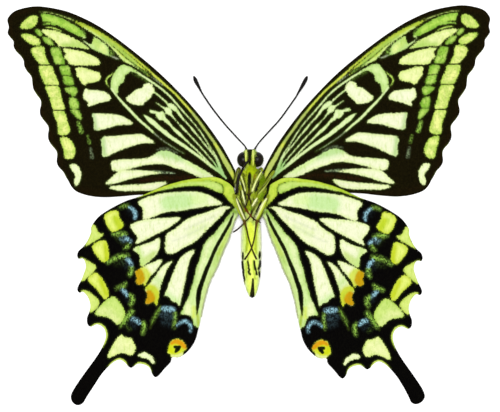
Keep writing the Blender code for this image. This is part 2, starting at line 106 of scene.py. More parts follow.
# A wing's under face takes the left half of its UV map, with this margin, and the upper face the right half
UV_SPAN = 0.48
UV_EDGE = 0.01

FORE_COSTA = [
    (2.9, 7.3), (3.7, 8.95), (4.75, 10.9), (5.95, 12.9), (8.8, 16.9), (12.1, 20.9), (15.9, 24.9),
    (19.0, 27.85), (22.0, 30.4), (25.0, 32.8), (28.0, 35.05), (31.0, 37.05), (34.0, 38.65), (37.5, 40.1),
    (41.0, 40.9), (43.7, 41.2), (46.0, 40.95), (48.3, 40.25), (49.5, 39.2), (49.9, 38.3),
]
FORE_MARGIN = [
    (49.6, 36.9), (49.85, 35.7), (49.3, 34.8), (48.65, 34.0), (48.6, 32.9), (48.1, 31.95), (47.1, 30.9),
    (46.55, 30.0), (46.4, 28.9), (45.9, 27.9), (44.95, 26.7), (44.75, 25.5), (44.55, 24.2), (43.8, 22.9),
    (43.05, 21.9), (42.95, 20.9), (43.2, 19.7), (43.05, 18.7), (42.4, 17.7), (41.6, 16.7), (41.35, 15.9),
    (41.5, 14.7), (41.4, 13.7), (40.8, 12.6), (39.85, 11.5), (39.6, 10.6), (39.7, 9.1), (39.3, 8.1),
    (38.4, 7.1), (37.85, 6.1), (37.3, 5.2), (36.7, 4.1), (35.9, 3.2),
]
FORE_INNER = [
    (34.6, 2.55), (32.4, 2.0), (29.7, 1.8), (26.1, 2.0), (22.7, 2.3), (15.0, 2.5), (8.0, 2.5), (3.6, 2.6),
]
FORE_ROOT = [(3.1, 3.5), (2.8, 5.5)]

HIND_COSTA = [
    (3.2, 3.8), (4.0, 4.7), (5.0, 5.3), (6.2, 5.9), (7.8, 6.1), (10.0, 5.9), (13.0, 5.5), (17.0, 4.6),
    (20.0, 3.2), (22.5, 2.1), (25.0, 1.3), (27.0, 0.4), (29.0, -0.7), (31.0, -2.1), (32.4, -4.0),
]
HIND_MARGIN = [
    (32.5, -5.2), (33.0, -6.5), (33.5, -7.4), (34.2, -8.3), (35.1, -9.1), (35.4, -10.0), (35.1, -10.7),
    (34.3, -10.6), (33.8, -11.2), (33.6, -12.4), (34.0, -13.7), (34.5, -15.0), (35.1, -16.1), (35.4, -17.0),
    (35.0, -17.7), (34.2, -17.5), (33.2, -18.6), (32.7, -20.2), (32.9, -21.6), (33.4, -22.9), (33.3, -24.2),
    (32.6, -24.7), (31.3, -24.2), (30.0, -24.9), (29.5, -26.3), (29.85, -28.0), (30.75, -29.8),
    (31.95, -31.6), (33.65, -33.9), (35.2, -36.1), (36.45, -38.1), (36.8, -39.3), (36.4, -40.4),
    (35.4, -40.95), (34.3, -40.5), (33.5, -39.2), (32.0, -36.9), (30.5, -34.6), (29.0, -32.9), (27.8, -31.9),
    (26.6, -31.5), (25.6, -32.1), (24.9, -32.9), (24.3, -33.2), (23.7, -32.8), (22.8, -32.3), (21.3, -32.6),
    (20.4, -33.3), (20.0, -34.4), (19.4, -35.1), (18.7, -34.8), (17.5, -33.4), (16.2, -32.0), (15.9, -31.0),
    (14.6, -31.0), (13.4, -30.4), (12.0, -29.0), (11.0, -27.2), (10.5, -25.3), (10.1, -23.8),
]
HIND_INNER = [
    (9.9, -22.4), (9.65, -20.9), (9.3, -19.3), (8.9, -17.8), (8.45, -16.2), (7.9, -14.8), (7.3, -13.6),
    (6.7, -12.4), (6.2, -11.1), (5.65, -9.7), (5.0, -8.1), (4.3, -6.6), (3.75, -5.0), (3.35, -3.8),
    (3.1, -2.9), (2.75, -2.2), (2.35, -1.7),
]
HIND_ROOT = [(2.2, -0.8), (2.4, 0.8), (2.9, 2.6)]

FORE_VEINS = [
    [(4.3, 6.4), (7.0, 10.4), (10.0, 15.0), (15.5, 20.8), (20.0, 25.1), (23.0, 27.8), (26.2, 30.2)],
    [(4.6, 4.7), (9.0, 7.7), (14.5, 11.0), (20.6, 15.6), (25.6, 20.7), (27.2, 22.4)],
    [(26.2, 30.2), (28.6, 28.4), (29.2, 26.4), (28.7, 24.5), (27.2, 22.4)],
    [(10.0, 15.0), (16.0, 22.4), (22.0, 28.3), (28.0, 33.4), (31.5, 36.0)],
    [(26.2, 30.2), (29.5, 33.0), (33.0, 35.5), (37.0, 38.2), (41.0, 39.4), (44.4, 40.0)],
    [(26.2, 30.2), (30.2, 31.4), (33.5, 33.3), (37.0, 35.7), (40.0, 36.9), (44.0, 36.8), (48.6, 36.1)],
    [(30.2, 31.4), (33.3, 32.1), (38.0, 32.6), (43.0, 33.0), (47.5, 32.9)],
    [(28.6, 28.4), (32.0, 28.5), (36.0, 28.8), (41.0, 28.9), (45.0, 29.0)],
    [(28.7, 24.5), (31.5, 24.6), (35.0, 24.6), (39.0, 24.8), (43.3, 24.9)],
    [(25.6, 20.7), (28.5, 20.3), (32.5, 19.8), (37.0, 19.8), (41.8, 19.8)],
    [(20.6, 15.6), (24.0, 15.7), (28.0, 15.1), (32.0, 14.8), (36.5, 14.4), (40.2, 14.4)],
    [(14.5, 11.0), (17.3, 12.0), (21.0, 11.8), (25.0, 10.9), (30.0, 9.6), (34.5, 9.2), (38.3, 9.3)],
    [(4.6, 3.7), (9.0, 5.5), (14.0, 6.0), (19.0, 5.6), (25.0, 4.8), (31.0, 4.2), (35.7, 4.2)],
]
HIND_VEINS = [
    [(4.6, 1.8), (5.6, 3.0), (8.0, 3.8), (12.0, 4.0), (16.0, 3.4), (20.0, 2.1), (24.0, 0.6), (27.0, -1.0)],
    [(4.5, 0.1), (8.0, -0.6), (13.2, -1.7), (16.5, -2.0), (20.0, -2.7), (24.0, -3.9), (28.0, -5.3),
     (31.0, -6.8), (34.2, -9.4)],
    [(13.2, -1.7), (15.5, -3.9), (17.6, -5.6), (20.0, -6.7), (23.0, -8.0), (26.0, -9.2), (28.5, -10.8),
     (31.5, -13.4), (34.3, -16.5)],
    [(17.6, -5.6), (17.9, -7.9), (17.6, -10.1)],
    [(4.6, -1.2), (6.0, -3.0), (9.0, -6.2), (11.3, -8.0), (13.4, -9.2), (15.6, -9.9), (17.6, -10.1)],
    [(17.6, -10.1), (20.0, -11.3), (23.0, -12.9), (25.5, -15.0), (28.0, -17.3), (30.7, -20.0), (32.5, -23.3)],
    [(17.6, -10.1), (19.0, -12.7), (21.5, -16.3), (24.3, -20.5), (26.4, -24.6), (28.9, -29.3), (31.7, -33.9),
     (35.1, -39.0)],
    [(15.6, -9.9), (17.0, -14.0), (18.5, -18.0), (20.5, -23.0), (22.3, -28.0), (24.1, -32.2)],
    [(11.3, -8.0), (12.2, -13.0), (13.2, -17.0), (14.5, -21.5), (16.3, -27.0), (19.0, -33.8)],
    [(5.0, -3.4), (6.3, -6.6), (8.7, -11.8), (10.4, -16.0), (11.2, -20.0), (11.5, -24.0), (12.6, -28.0)],
]

# Tones of the pale scales: deep inside a patch, at its rim, the distance in mm between them, and the mottling
TONES = {
    "cream": ((253, 254, 219), (236, 249, 180), 0.7, 0.1),
    "lemon": ((249, 254, 182), (230, 246, 146), 0.7, 0.25),
    "spot": ((248, 253, 154), (208, 233, 106), 0.8, 0.75),
    "row": ((190, 226, 104), (130, 168, 64), 0.5, 1.0),
    "green": ((190, 230, 96), (150, 196, 76), 0.7, 0.7),
    "mint": ((222, 246, 168), (190, 222, 130), 0.7, 0.25),
    "stripe": ((200, 218, 76), (164, 182, 52), 0.4, 0.3),
    "gold": ((228, 234, 96), (176, 190, 54), 0.22, 0.2),
    "line": ((234, 250, 190), (200, 226, 146), 0.2, 0.15),
    "edge": ((196, 212, 130), (150, 162, 80), 0.12, 0.5),
    "grey": ((164, 172, 146), (110, 116, 96), 0.15, 0.4),
    "yellow": ((240, 250, 128), (208, 224, 64), 0.8, 0.15),
    "leaf": ((214, 238, 132), (190, 222, 96), 0.6, 0.3),
    "moss": ((150, 196, 70), (104, 150, 50), 0.15, 0.6),
    "bay": ((228, 244, 134), (202, 224, 92), 0.6, 0.2),
    "ring": ((220, 230, 40), (226, 238, 84), 0.5, 0.1),
    "base": ((216, 238, 86), (182, 206, 54), 0.5, 0.35),
    "fringe": ((226, 232, 170), (186, 190, 120), 0.2, 0.2),
}

FORE_PATCHES = [
    ("spot", [(47.3, 36.8), (46.4, 38.2), (45.1, 39.2), (43.8, 39.2), (43.6, 38.2), (44.4, 37.0),
              (45.7, 36.5)]),
    ("spot", [(47.0, 35.4), (45.5, 35.5), (44.2, 35.0), (43.1, 34.0), (43.3, 33.2), (44.5, 33.2),
              (46.2, 34.2)]),
    ("spot", [(45.0, 32.1), (44.1, 32.8), (42.4, 32.8), (42.0, 30.9), (41.2, 29.1), (42.7, 29.1),
              (44.1, 30.3)]),
    ("spot", [(43.4, 28.6), (42.9, 29.0), (40.8, 29.0), (40.2, 27.5), (39.3, 24.9), (41.8, 24.9),
              (43.0, 26.9)]),
    ("spot", [(41.9, 24.7), (39.4, 24.7), (38.7, 22.4), (38.1, 19.9), (40.3, 19.9), (41.1, 22.1),
              (41.8, 23.7)]),
    ("spot", [(40.4, 19.6), (38.3, 19.6), (37.5, 17.7), (36.9, 15.6), (37.6, 14.7), (39.3, 14.8),
              (39.6, 17.0)]),
    ("spot", [(38.9, 14.0), (37.3, 14.0), (36.2, 12.7), (35.8, 11.0), (36.5, 9.8), (37.9, 9.8),
              (38.3, 11.5)]),
    ("cream", [(37.0, 8.5), (35.8, 8.6), (34.8, 7.5), (34.6, 6.2), (35.1, 4.6), (35.8, 4.1), (36.1, 5.2),
               (35.8, 6.3), (36.6, 7.4)]),
    ("row", [(44.2, 36.4), (43.2, 36.3), (42.6, 35.3), (43.2, 35.0), (43.9, 35.6)]),
    ("row", [(42.6, 34.9), (41.2, 34.6), (40.2, 33.2), (41.2, 33.2), (42.3, 33.9)]),
    ("row", [(40.9, 32.5), (39.2, 32.6), (38.5, 31.0), (38.0, 29.3), (39.9, 29.2), (40.6, 31.0)]),
    ("row", [(39.1, 28.8), (37.1, 28.8), (36.8, 27.3), (36.1, 25.1), (38.0, 25.1), (38.5, 26.7)]),
    ("row", [(38.1, 24.2), (36.1, 24.6), (35.4, 23.7), (35.9, 22.6), (36.9, 23.0)]),
    ("row", [(37.0, 22.3), (35.5, 22.0), (35.1, 20.2), (36.8, 20.1)]),
    ("row", [(36.8, 19.8), (35.1, 19.8), (34.5, 17.8), (35.6, 18.2)]),
    ("green", [(42.9, 39.6), (41.2, 39.5), (39.6, 39.0), (38.0, 38.4), (36.4, 37.5), (35.0, 36.6),
               (34.4, 35.9), (33.7, 34.9), (34.6, 34.9), (35.7, 35.2), (36.8, 35.8), (38.0, 36.5),
               (39.2, 37.1), (40.6, 37.5), (42.4, 37.7), (42.6, 38.6)]),
    ("mint", [(32.0, 34.8), (31.4, 34.6), (30.4, 33.9), (29.6, 33.3), (29.0, 32.5), (28.9, 31.7),
              (28.7, 30.9), (29.8, 31.2), (30.8, 31.7), (31.8, 32.1), (32.5, 32.5), (33.1, 33.1),
              (32.5, 33.4), (32.2, 34.1)]),
    ("stripe", [(36.6, 38.55), (35.0, 38.0), (33.5, 37.3), (32.0, 36.6), (30.5, 35.75), (29.0, 34.85),
                (27.5, 33.8), (26.0, 32.65), (24.6, 31.55), (23.0, 30.2), (21.6, 29.0), (20.4, 28.0),
                (20.4, 26.6), (21.5, 27.4), (22.5, 28.1), (23.5, 28.6), (24.5, 29.15), (25.6, 29.65),
                (26.4, 30.35), (27.0, 31.05), (28.0, 32.15), (29.0, 33.15), (30.0, 34.0), (31.0, 34.7),
                (32.0, 35.35), (33.0, 36.0), (34.0, 36.6), (35.0, 37.25), (36.2, 38.1)]),
    ("lemon", [(42.8, 36.3), (40.5, 36.2), (38.4, 35.6), (36.8, 34.9), (35.2, 34.1), (34.0, 33.3),
               (33.0, 32.3), (34.9, 32.6), (36.8, 32.8), (39.1, 32.9), (39.9, 33.9), (40.9, 34.6),
               (42.0, 35.3)]),
    ("lemon", [(38.4, 32.4), (36.0, 32.2), (34.0, 31.7), (32.5, 31.1), (31.4, 30.5), (30.8, 29.8),
               (30.8, 29.2), (32.0, 29.0), (35.0, 29.0), (36.9, 29.2), (37.5, 30.0), (38.2, 30.7),
               (37.8, 31.4)]),
    ("lemon", [(35.8, 28.4), (35.0, 28.55), (33.8, 28.4), (32.6, 28.0), (31.6, 27.7), (30.9, 27.5),
               (30.6, 26.7), (30.9, 25.9), (32.0, 25.5), (33.3, 25.3), (33.8, 24.9), (34.4, 25.2),
               (35.0, 26.2), (35.6, 26.9), (35.5, 27.6)]),
    ("cream", [(33.8, 24.2), (33.0, 23.9), (32.0, 23.9), (30.5, 23.7), (29.4, 23.4), (28.6, 22.5),
               (28.7, 21.8), (31.0, 21.2), (33.2, 20.5), (33.2, 21.3), (34.2, 22.4)]),
    ("cream", [(32.3, 19.0), (30.0, 19.0), (27.3, 18.8), (25.5, 18.2), (24.0, 16.9), (27.0, 16.6),
               (31.5, 15.6), (32.0, 17.5)]),
    ("cream", [(30.3, 14.1), (27.0, 14.5), (23.0, 14.8), (21.5, 14.5), (19.5, 13.0), (22.0, 12.9),
               (26.0, 11.7), (29.9, 10.1), (30.3, 12.0)]),
    ("cream", [(28.3, 9.2), (25.5, 9.6), (21.0, 9.9), (18.6, 11.2), (16.6, 11.3), (13.9, 9.9), (11.4, 8.6),
               (8.0, 6.6), (7.0, 5.7), (9.0, 5.6), (10.9, 6.2), (13.4, 7.3), (15.4, 7.9), (17.6, 8.6),
               (20.0, 8.6), (23.0, 8.1), (25.6, 7.4), (28.0, 7.3)]),
    ("cream", [(28.3, 5.9), (26.7, 7.2), (24.0, 7.4), (21.0, 7.3), (18.0, 6.8), (20.0, 6.5), (24.0, 5.7),
               (27.0, 4.8), (29.6, 4.5)]),
    ("cream", [(28.8, 3.9), (26.0, 4.3), (22.0, 4.5), (17.0, 5.0), (19.0, 3.4), (23.0, 3.1), (27.0, 3.2)]),
    ("mint", [(26.6, 28.9), (25.7, 29.05), (25.0, 28.85), (24.0, 28.3), (23.0, 27.7), (22.0, 26.9),
              (22.4, 26.7), (23.2, 27.3), (24.0, 27.7), (24.7, 27.5), (25.5, 26.9), (25.7, 26.1),
              (25.9, 25.5), (26.7, 25.0), (27.0, 24.2), (27.1, 23.2), (27.8, 23.4), (28.3, 24.0),
              (28.5, 25.2), (28.3, 26.2), (27.9, 27.2)]),
    ("cream", [(25.4, 22.2), (24.4, 23.0), (23.6, 23.7), (22.8, 24.15), (22.0, 24.25), (21.8, 24.9),
               (21.2, 25.25), (20.6, 25.3), (20.0, 24.9), (19.6, 24.1), (19.5, 23.5), (20.0, 23.0),
               (20.2, 22.4), (20.9, 21.8), (21.5, 21.3), (21.8, 20.8), (23.4, 20.8), (24.8, 21.4)]),
    ("line", [(17.0, 21.05), (16.4, 21.2), (15.7, 20.95), (15.1, 20.4), (14.7, 19.7), (15.1, 19.4),
              (15.6, 19.7), (16.1, 20.0), (16.6, 20.35)]),
    ("line", [(17.75, 20.25), (17.2, 20.35), (16.5, 20.2), (16.0, 19.8), (15.9, 19.2), (16.0, 18.75),
              (16.6, 18.75), (17.2, 19.1), (17.4, 19.6)]),
    ("line", [(20.65, 19.35), (20.45, 19.8), (19.9, 19.75), (19.2, 19.5), (18.4, 19.35), (17.9, 19.5),
              (17.5, 19.25), (17.3, 18.7), (17.1, 18.1), (16.7, 17.6), (16.9, 16.95), (17.3, 17.2),
              (17.7, 17.6), (18.3, 17.65), (18.8, 18.0), (19.2, 18.55), (19.3, 19.0), (20.0, 19.1)]),
]

# Strokes of pale scales: x, y and half width
FORE_STROKES = [
    ("gold", [(25.4, 32.1, 0.1), (24.0, 30.85, 0.18), (22.8, 29.8, 0.2), (21.6, 28.75, 0.24),
              (20.2, 27.45, 0.24), (19.0, 26.4, 0.25), (18.0, 25.55, 0.25), (17.0, 24.65, 0.23),
              (16.0, 23.8, 0.22), (15.0, 22.85, 0.22), (14.0, 21.75, 0.23), (13.0, 20.65, 0.24),
              (12.0, 19.5, 0.25), (10.75, 17.95, 0.27), (10.0, 17.0, 0.28), (8.7, 15.15, 0.26),
              (7.35, 13.3, 0.29), (6.2, 11.4, 0.38), (5.15, 9.5, 0.46), (4.1, 7.7, 0.48), (3.4, 6.3, 0.34),
              (3.3, 5.5, 0.1)]),
    ("edge", [(43.2, 40.05, 0.04), (41.6, 39.95, 0.09), (39.8, 39.55, 0.1), (38.0, 38.95, 0.13),
              (36.4, 38.35, 0.2)]),
    ("grey", [(21.4, 27.55, 0.1), (20.6, 27.0, 0.13), (19.6, 26.25, 0.14), (18.7, 25.5, 0.12),
              (17.8, 24.8, 0.07)]),
    ("line", [(23.0, 27.45, 0.22), (22.0, 26.8, 0.2), (21.0, 26.2, 0.22), (20.0, 25.5, 0.21),
              (19.0, 24.8, 0.2), (18.0, 24.05, 0.2), (17.0, 23.2, 0.19), (16.0, 22.25, 0.19),
              (15.0, 21.1, 0.18), (14.0, 19.95, 0.18), (13.0, 18.8, 0.16), (12.0, 17.7, 0.14),
              (11.0, 16.55, 0.13), (10.0, 15.2, 0.13), (9.0, 13.7, 0.14), (8.0, 12.05, 0.14),
              (6.95, 10.45, 0.15), (6.25, 8.95, 0.19), (5.75, 7.5, 0.22), (5.4, 6.8, 0.22)]),
    ("line", [(19.6, 23.5, 0.16), (18.6, 22.7, 0.16), (17.7, 21.95, 0.17), (17.0, 21.3, 0.2)]),
    ("line", [(15.2, 20.1, 0.32), (14.5, 19.1, 0.28), (13.7, 18.0, 0.2), (12.8, 17.05, 0.15),
              (12.0, 16.15, 0.18), (11.4, 15.4, 0.22), (10.8, 14.7, 0.16), (9.9, 13.65, 0.15),
              (9.0, 12.45, 0.16), (8.06, 11.4, 0.16), (7.3, 10.45, 0.17), (6.7, 9.5, 0.18), (6.2, 8.3, 0.2),
              (5.8, 7.2, 0.2)]),
    ("line", [(19.2, 21.25, 0.08), (18.6, 20.9, 0.13), (18.0, 20.45, 0.14), (17.5, 20.1, 0.2)]),
    ("line", [(16.2, 18.9, 0.28), (15.8, 18.4, 0.18), (15.3, 17.85, 0.14), (14.9, 17.35, 0.1),
              (14.5, 16.95, 0.12), (13.9, 16.3, 0.22), (13.2, 15.55, 0.22), (12.6, 14.95, 0.15),
              (12.0, 14.3, 0.13), (11.3, 13.55, 0.18), (10.7, 12.9, 0.15), (9.9, 12.0, 0.14),
              (9.1, 11.1, 0.14), (8.2, 10.05, 0.14), (7.4, 9.1, 0.15), (6.7, 8.15, 0.16), (6.1, 7.3, 0.2)]),
    ("line", [(16.9, 17.4, 0.34), (16.4, 16.9, 0.25), (15.9, 16.3, 0.22), (15.4, 15.75, 0.3),
              (14.9, 15.3, 0.35), (14.2, 14.7, 0.31), (13.6, 14.1, 0.23), (12.8, 13.35, 0.19),
              (12.0, 12.6, 0.17), (10.9, 11.6, 0.17), (9.7, 10.35, 0.17), (8.6, 9.2, 0.18), (7.7, 8.25, 0.2),
              (6.8, 7.5, 0.22), (5.6, 6.6, 0.24)]),
    ("line", [(21.8, 18.75, 0.08), (21.2, 18.35, 0.26), (20.6, 17.8, 0.44), (20.0, 17.35, 0.5),
              (19.3, 16.75, 0.46), (18.7, 16.2, 0.44), (18.0, 15.65, 0.4), (17.4, 15.2, 0.46),
              (16.8, 14.7, 0.4), (16.1, 14.15, 0.36), (15.4, 13.7, 0.38), (14.6, 13.15, 0.36),
              (13.6, 12.5, 0.34), (11.9, 11.3, 0.3), (9.95, 9.85, 0.26), (8.0, 8.3, 0.24), (6.0, 6.9, 0.26),
              (5.1, 6.1, 0.26), (4.75, 5.7, 0.16)]),
    ("line", [(28.4, 24.2, 0.24), (27.2, 22.6, 0.2), (26.0, 21.2, 0.24), (24.6, 19.75, 0.28),
              (22.7, 17.75, 0.26), (20.9, 16.2, 0.24), (19.6, 15.0, 0.18)]),
    ("grey", [(19.6, 15.0, 0.15), (18.3, 13.9, 0.13), (16.6, 12.7, 0.12), (15.0, 11.7, 0.1),
              (13.4, 10.8, 0.06)]),
    ("leaf", [(28.0, 27.45, 0.08), (28.5, 26.95, 0.13), (29.15, 26.5, 0.18), (29.5, 25.9, 0.17),
              (29.35, 25.2, 0.14), (28.9, 24.5, 0.07)]),
    ("grey", [(28.6, 30.95, 0.14), (27.8, 30.6, 0.22), (26.9, 30.25, 0.14)]),
    ("green", [(42.5, 37.45, 0.1), (41.3, 37.6, 0.18), (40.0, 37.35, 0.16)]),
    ("leaf", [(41.9, 36.8, 0.1), (40.9, 36.8, 0.14), (39.8, 36.5, 0.14), (38.4, 35.98, 0.08)]),
    ("line", [(34.6, 34.35, 0.06), (33.9, 33.85, 0.12), (33.2, 33.35, 0.15), (32.6, 33.0, 0.2)]),
    ("mint", [(34.2, 34.75, 0.2), (33.8, 34.75, 0.16)]),
    ("fringe", [(49.7, 35.1, 0.03), (49.1, 34.45, 0.1), (48.7, 33.8, 0.03)]),
    ("fringe", [(48.4, 32.2, 0.03), (47.7, 31.4, 0.12), (47.0, 30.7, 0.1), (46.6, 30.0, 0.03)]),
    ("fringe", [(46.2, 28.3, 0.03), (45.5, 27.3, 0.12), (44.95, 26.5, 0.1), (44.8, 25.6, 0.03)]),
    ("fringe", [(44.4, 23.8, 0.03), (43.7, 22.7, 0.12), (43.05, 21.7, 0.1), (43.0, 20.9, 0.03)]),
    ("fringe", [(42.8, 18.2, 0.03), (42.1, 17.15, 0.12), (41.5, 16.3, 0.1), (41.4, 15.5, 0.03)]),
    ("fringe", [(41.2, 13.1, 0.03), (40.4, 12.05, 0.12), (39.75, 11.2, 0.1), (39.65, 10.3, 0.03)]),
    ("fringe", [(39.1, 7.7, 0.03), (38.3, 6.8, 0.12), (37.8, 5.8, 0.1), (37.4, 5.2, 0.03)]),
]

# Strokes of black scales over the pale ones
FORE_DARK = [
    [(29.4, 33.9, 0.02), (28.0, 32.85, 0.06), (27.0, 32.0, 0.1), (25.9, 31.0, 0.13), (24.9, 30.15, 0.14),
     (23.8, 29.3, 0.15), (22.8, 28.5, 0.19), (21.8, 27.8, 0.24), (20.6, 27.1, 0.2), (19.6, 26.4, 0.1)],
    [(26.0, 32.0, 0.03), (25.0, 31.25, 0.06), (24.0, 30.45, 0.09), (23.0, 29.6, 0.1), (22.0, 28.75, 0.11),
     (21.0, 27.9, 0.12), (20.0, 27.05, 0.1)],
    [(36.8, 38.5, 0.03), (35.9, 38.2, 0.1), (35.0, 37.9, 0.06)],
    [(38.7, 26.95, 0.1), (37.4, 26.9, 0.12), (36.4, 26.7, 0.1)],
    [(42.8, 37.85, 0.12), (41.8, 37.95, 0.14), (40.8, 37.95, 0.06)],
    [(43.0, 37.1, 0.14), (41.3, 37.25, 0.13), (39.6, 36.85, 0.2), (38.0, 36.05, 0.26), (35.6, 34.95, 0.26),
     (34.2, 33.95, 0.1)],
    [(43.6, 29.05, 0.14), (38.0, 29.05, 0.14)],
    [(43.4, 24.85, 0.13), (38.0, 24.85, 0.13)],
    [(42.0, 19.75, 0.13), (37.4, 19.75, 0.13)],
    [(28.0, 27.4, 0.04), (28.4, 26.5, 0.09), (28.7, 25.7, 0.24), (28.65, 24.8, 0.14)],
    [(17.7, 19.6, 0.06), (17.4, 19.3, 0.06)],
]

HIND_PATCHES = [
    ("cream", [(22.7, 1.1), (19.0, 2.5), (15.1, 3.0), (11.2, 3.1), (8.6, 2.5), (6.6, 1.4), (5.6, 0.5),
               (9.9, -0.1), (13.8, -0.8), (17.4, -1.2), (21.5, -2.6), (21.8, -0.5)]),
    ("cream", [(14.1, -2.3), (16.4, -4.2), (18.5, -5.4), (23.2, -7.6), (22.9, -6.4), (23.9, -5.0),
               (24.3, -3.7), (21.5, -2.7), (17.4, -2.3)]),
    ("cream", [(4.6, 0.1), (3.7, -0.1), (4.7, -0.6), (5.4, -1.6), (6.4, -2.6), (8.1, -4.2), (9.2, -5.3),
               (10.0, -6.2), (11.6, -7.5), (13.3, -8.3), (14.6, -9.1), (16.1, -9.7), (17.2, -9.0),
               (17.0, -5.8), (15.1, -4.5), (13.3, -2.9), (11.9, -2.2), (10.0, -1.5), (8.1, -0.9),
               (5.7, 0.0)]),
    ("cream", [(18.4, -6.5), (18.9, -9.6), (22.1, -12.2), (22.5, -10.0), (23.8, -8.6), (20.5, -7.4)]),
    ("cream", [(17.9, -10.9), (19.2, -13.2), (20.2, -14.2), (20.9, -15.2), (21.4, -16.3), (21.9, -15.8),
               (22.6, -16.0), (23.3, -15.6), (23.1, -14.6), (23.4, -13.5), (22.8, -12.9), (20.7, -11.8)]),
    ("cream", [(15.7, -11.1), (16.7, -12.6), (17.8, -15.2), (18.4, -17.2), (18.65, -19.0), (19.1, -20.4),
               (19.5, -19.6), (20.1, -19.7), (20.9, -20.1), (21.35, -19.6), (20.95, -18.6), (21.0, -17.7),
               (21.45, -17.0), (20.6, -15.9), (19.0, -13.8), (17.4, -11.9)]),
    ("cream", [(11.2, -9.0), (12.3, -11.3), (13.1, -15.2), (14.0, -19.2), (14.3, -20.4), (14.9, -19.7),
               (15.9, -19.4), (16.3, -18.8), (16.9, -18.4), (17.4, -18.3), (16.7, -16.4), (15.2, -12.6),
               (14.0, -10.4), (12.4, -9.2)]),
    ("mint", [(2.9, -0.3), (4.0, -1.4), (4.7, -2.3), (5.4, -3.3), (6.1, -4.1), (6.9, -5.2), (8.1, -6.3),
              (9.0, -7.4), (9.5, -8.3), (9.9, -9.7), (10.3, -11.2), (10.8, -12.4), (11.2, -14.2),
              (11.5, -15.4), (12.0, -16.9), (12.4, -18.4), (13.1, -19.8), (13.7, -21.2), (14.1, -22.2),
              (13.5, -22.1), (12.8, -22.2), (12.0, -22.5), (11.6, -23.3), (11.2, -24.4), (9.6, -25.0),
              (9.2, -22.0), (8.6, -18.5), (7.4, -14.5), (5.6, -10.6), (4.0, -7.0), (2.8, -4.0), (1.8, -2.0),
              (1.7, -0.6)]),
    ("base", [(6.5, 6.3), (7.8, 6.5), (9.9, 6.3), (9.9, 5.3), (8.0, 5.35), (6.85, 5.05), (6.0, 4.85),
              (5.5, 4.4), (5.3, 3.8), (5.3, 2.6), (4.8, 2.0), (4.2, 1.2), (3.5, 0.6), (3.1, 0.15),
              (2.5, -0.6), (2.3, 2.5), (3.0, 4.0), (4.0, 5.0), (5.0, 5.6)]),
    ("leaf", [(5.6, 2.9), (5.35, 3.5), (5.5, 4.3), (6.1, 4.85), (7.0, 5.05), (8.0, 5.35), (10.0, 5.3),
              (12.0, 5.2), (13.5, 5.0), (16.0, 4.3), (18.0, 3.6), (18.0, 3.3), (15.6, 3.85), (13.5, 4.2),
              (12.0, 4.3), (9.9, 4.3), (8.9, 4.05), (7.9, 3.65), (7.05, 3.25), (6.2, 2.95)]),
    ("yellow", [(29.8, -1.9), (27.2, -0.7), (26.6, -2.3), (25.8, -4.0), (28.3, -5.1)]),
    ("yellow", [(32.3, -8.2), (29.6, -6.9), (28.8, -10.1), (29.2, -11.1), (30.4, -11.2)]),
    ("yellow", [(33.2, -15.0), (31.6, -13.6), (30.0, -15.1), (28.9, -17.5), (29.1, -18.7), (29.9, -18.9),
                (31.4, -17.0)]),
    ("leaf", [(31.7, -22.2), (30.6, -20.3), (28.5, -18.6), (27.1, -19.0), (25.5, -21.9), (26.6, -24.1),
              (27.4, -24.1), (29.0, -22.8)]),
    ("lemon", [(29.1, -31.1), (28.9, -30.0), (28.2, -28.6), (27.3, -27.2), (26.4, -26.3), (25.8, -26.7),
               (25.0, -27.0), (24.1, -27.1), (23.9, -27.8), (23.4, -28.8), (23.5, -29.7), (24.0, -30.5),
               (24.9, -30.5), (26.0, -30.1), (27.2, -30.4), (28.0, -30.8)]),
    ("cream", [(22.9, -30.6), (22.3, -30.1), (21.4, -29.9), (20.8, -30.3), (20.0, -30.8), (19.6, -31.5),
               (19.4, -32.2), (20.0, -32.2), (20.6, -31.5), (21.6, -31.1), (22.3, -31.0)]),
    ("ring", [(16.0, -27.5), (15.4, -27.35), (14.8, -27.1), (14.2, -27.3), (13.4, -27.9), (12.9, -28.8),
              (13.0, -29.4), (13.6, -29.8), (13.6, -30.6), (14.6, -31.0), (15.9, -31.0), (16.2, -30.4),
              (16.7, -30.1), (16.75, -29.2), (16.4, -28.3)]),
    ("bay", [(31.7, -3.8), (32.4, -3.9), (33.0, -6.5), (34.0, -8.0), (33.2, -7.9), (30.0, -5.9),
             (31.0, -5.2)]),
    ("bay", [(34.9, -10.5), (33.1, -11.1), (31.5, -12.7), (34.4, -15.4), (35.0, -14.0), (34.0, -12.4)]),
    ("bay", [(34.6, -17.3), (33.1, -17.4), (30.8, -19.6), (32.5, -21.8), (33.6, -20.4), (33.8, -18.8)]),
]
HIND_STROKES = [
    ("base", [(9.0, 5.6, 0.35), (10.0, 5.55, 0.35), (13.0, 5.2, 0.3), (16.0, 4.4, 0.3), (19.0, 3.4, 0.28),
              (21.5, 2.5, 0.2), (23.0, 1.9, 0.06)]),
    ("bay", [(32.9, -24.9, 0.1), (31.3, -24.3, 0.4), (30.1, -24.9, 0.45), (29.5, -26.3, 0.4),
             (29.7, -27.8, 0.22), (30.2, -29.0, 0.05)]),
    ("bay", [(29.2, -33.0, 0.05), (27.9, -32.0, 0.3), (26.6, -31.5, 0.35), (25.6, -32.0, 0.25),
             (25.0, -32.9, 0.05)]),
    ("bay", [(23.8, -32.9, 0.05), (22.8, -32.3, 0.3), (21.4, -32.5, 0.3), (20.5, -33.2, 0.2),
             (20.1, -34.3, 0.05)]),
    ("moss", [(18.2, -20.4, 0.04), (18.9, -21.6, 0.09), (19.6, -23.0, 0.08), (20.4, -25.0, 0.03)]),
    ("moss", [(24.1, -20.4, 0.04), (25.0, -22.2, 0.07), (25.9, -23.8, 0.08), (26.7, -25.0, 0.03)]),
]
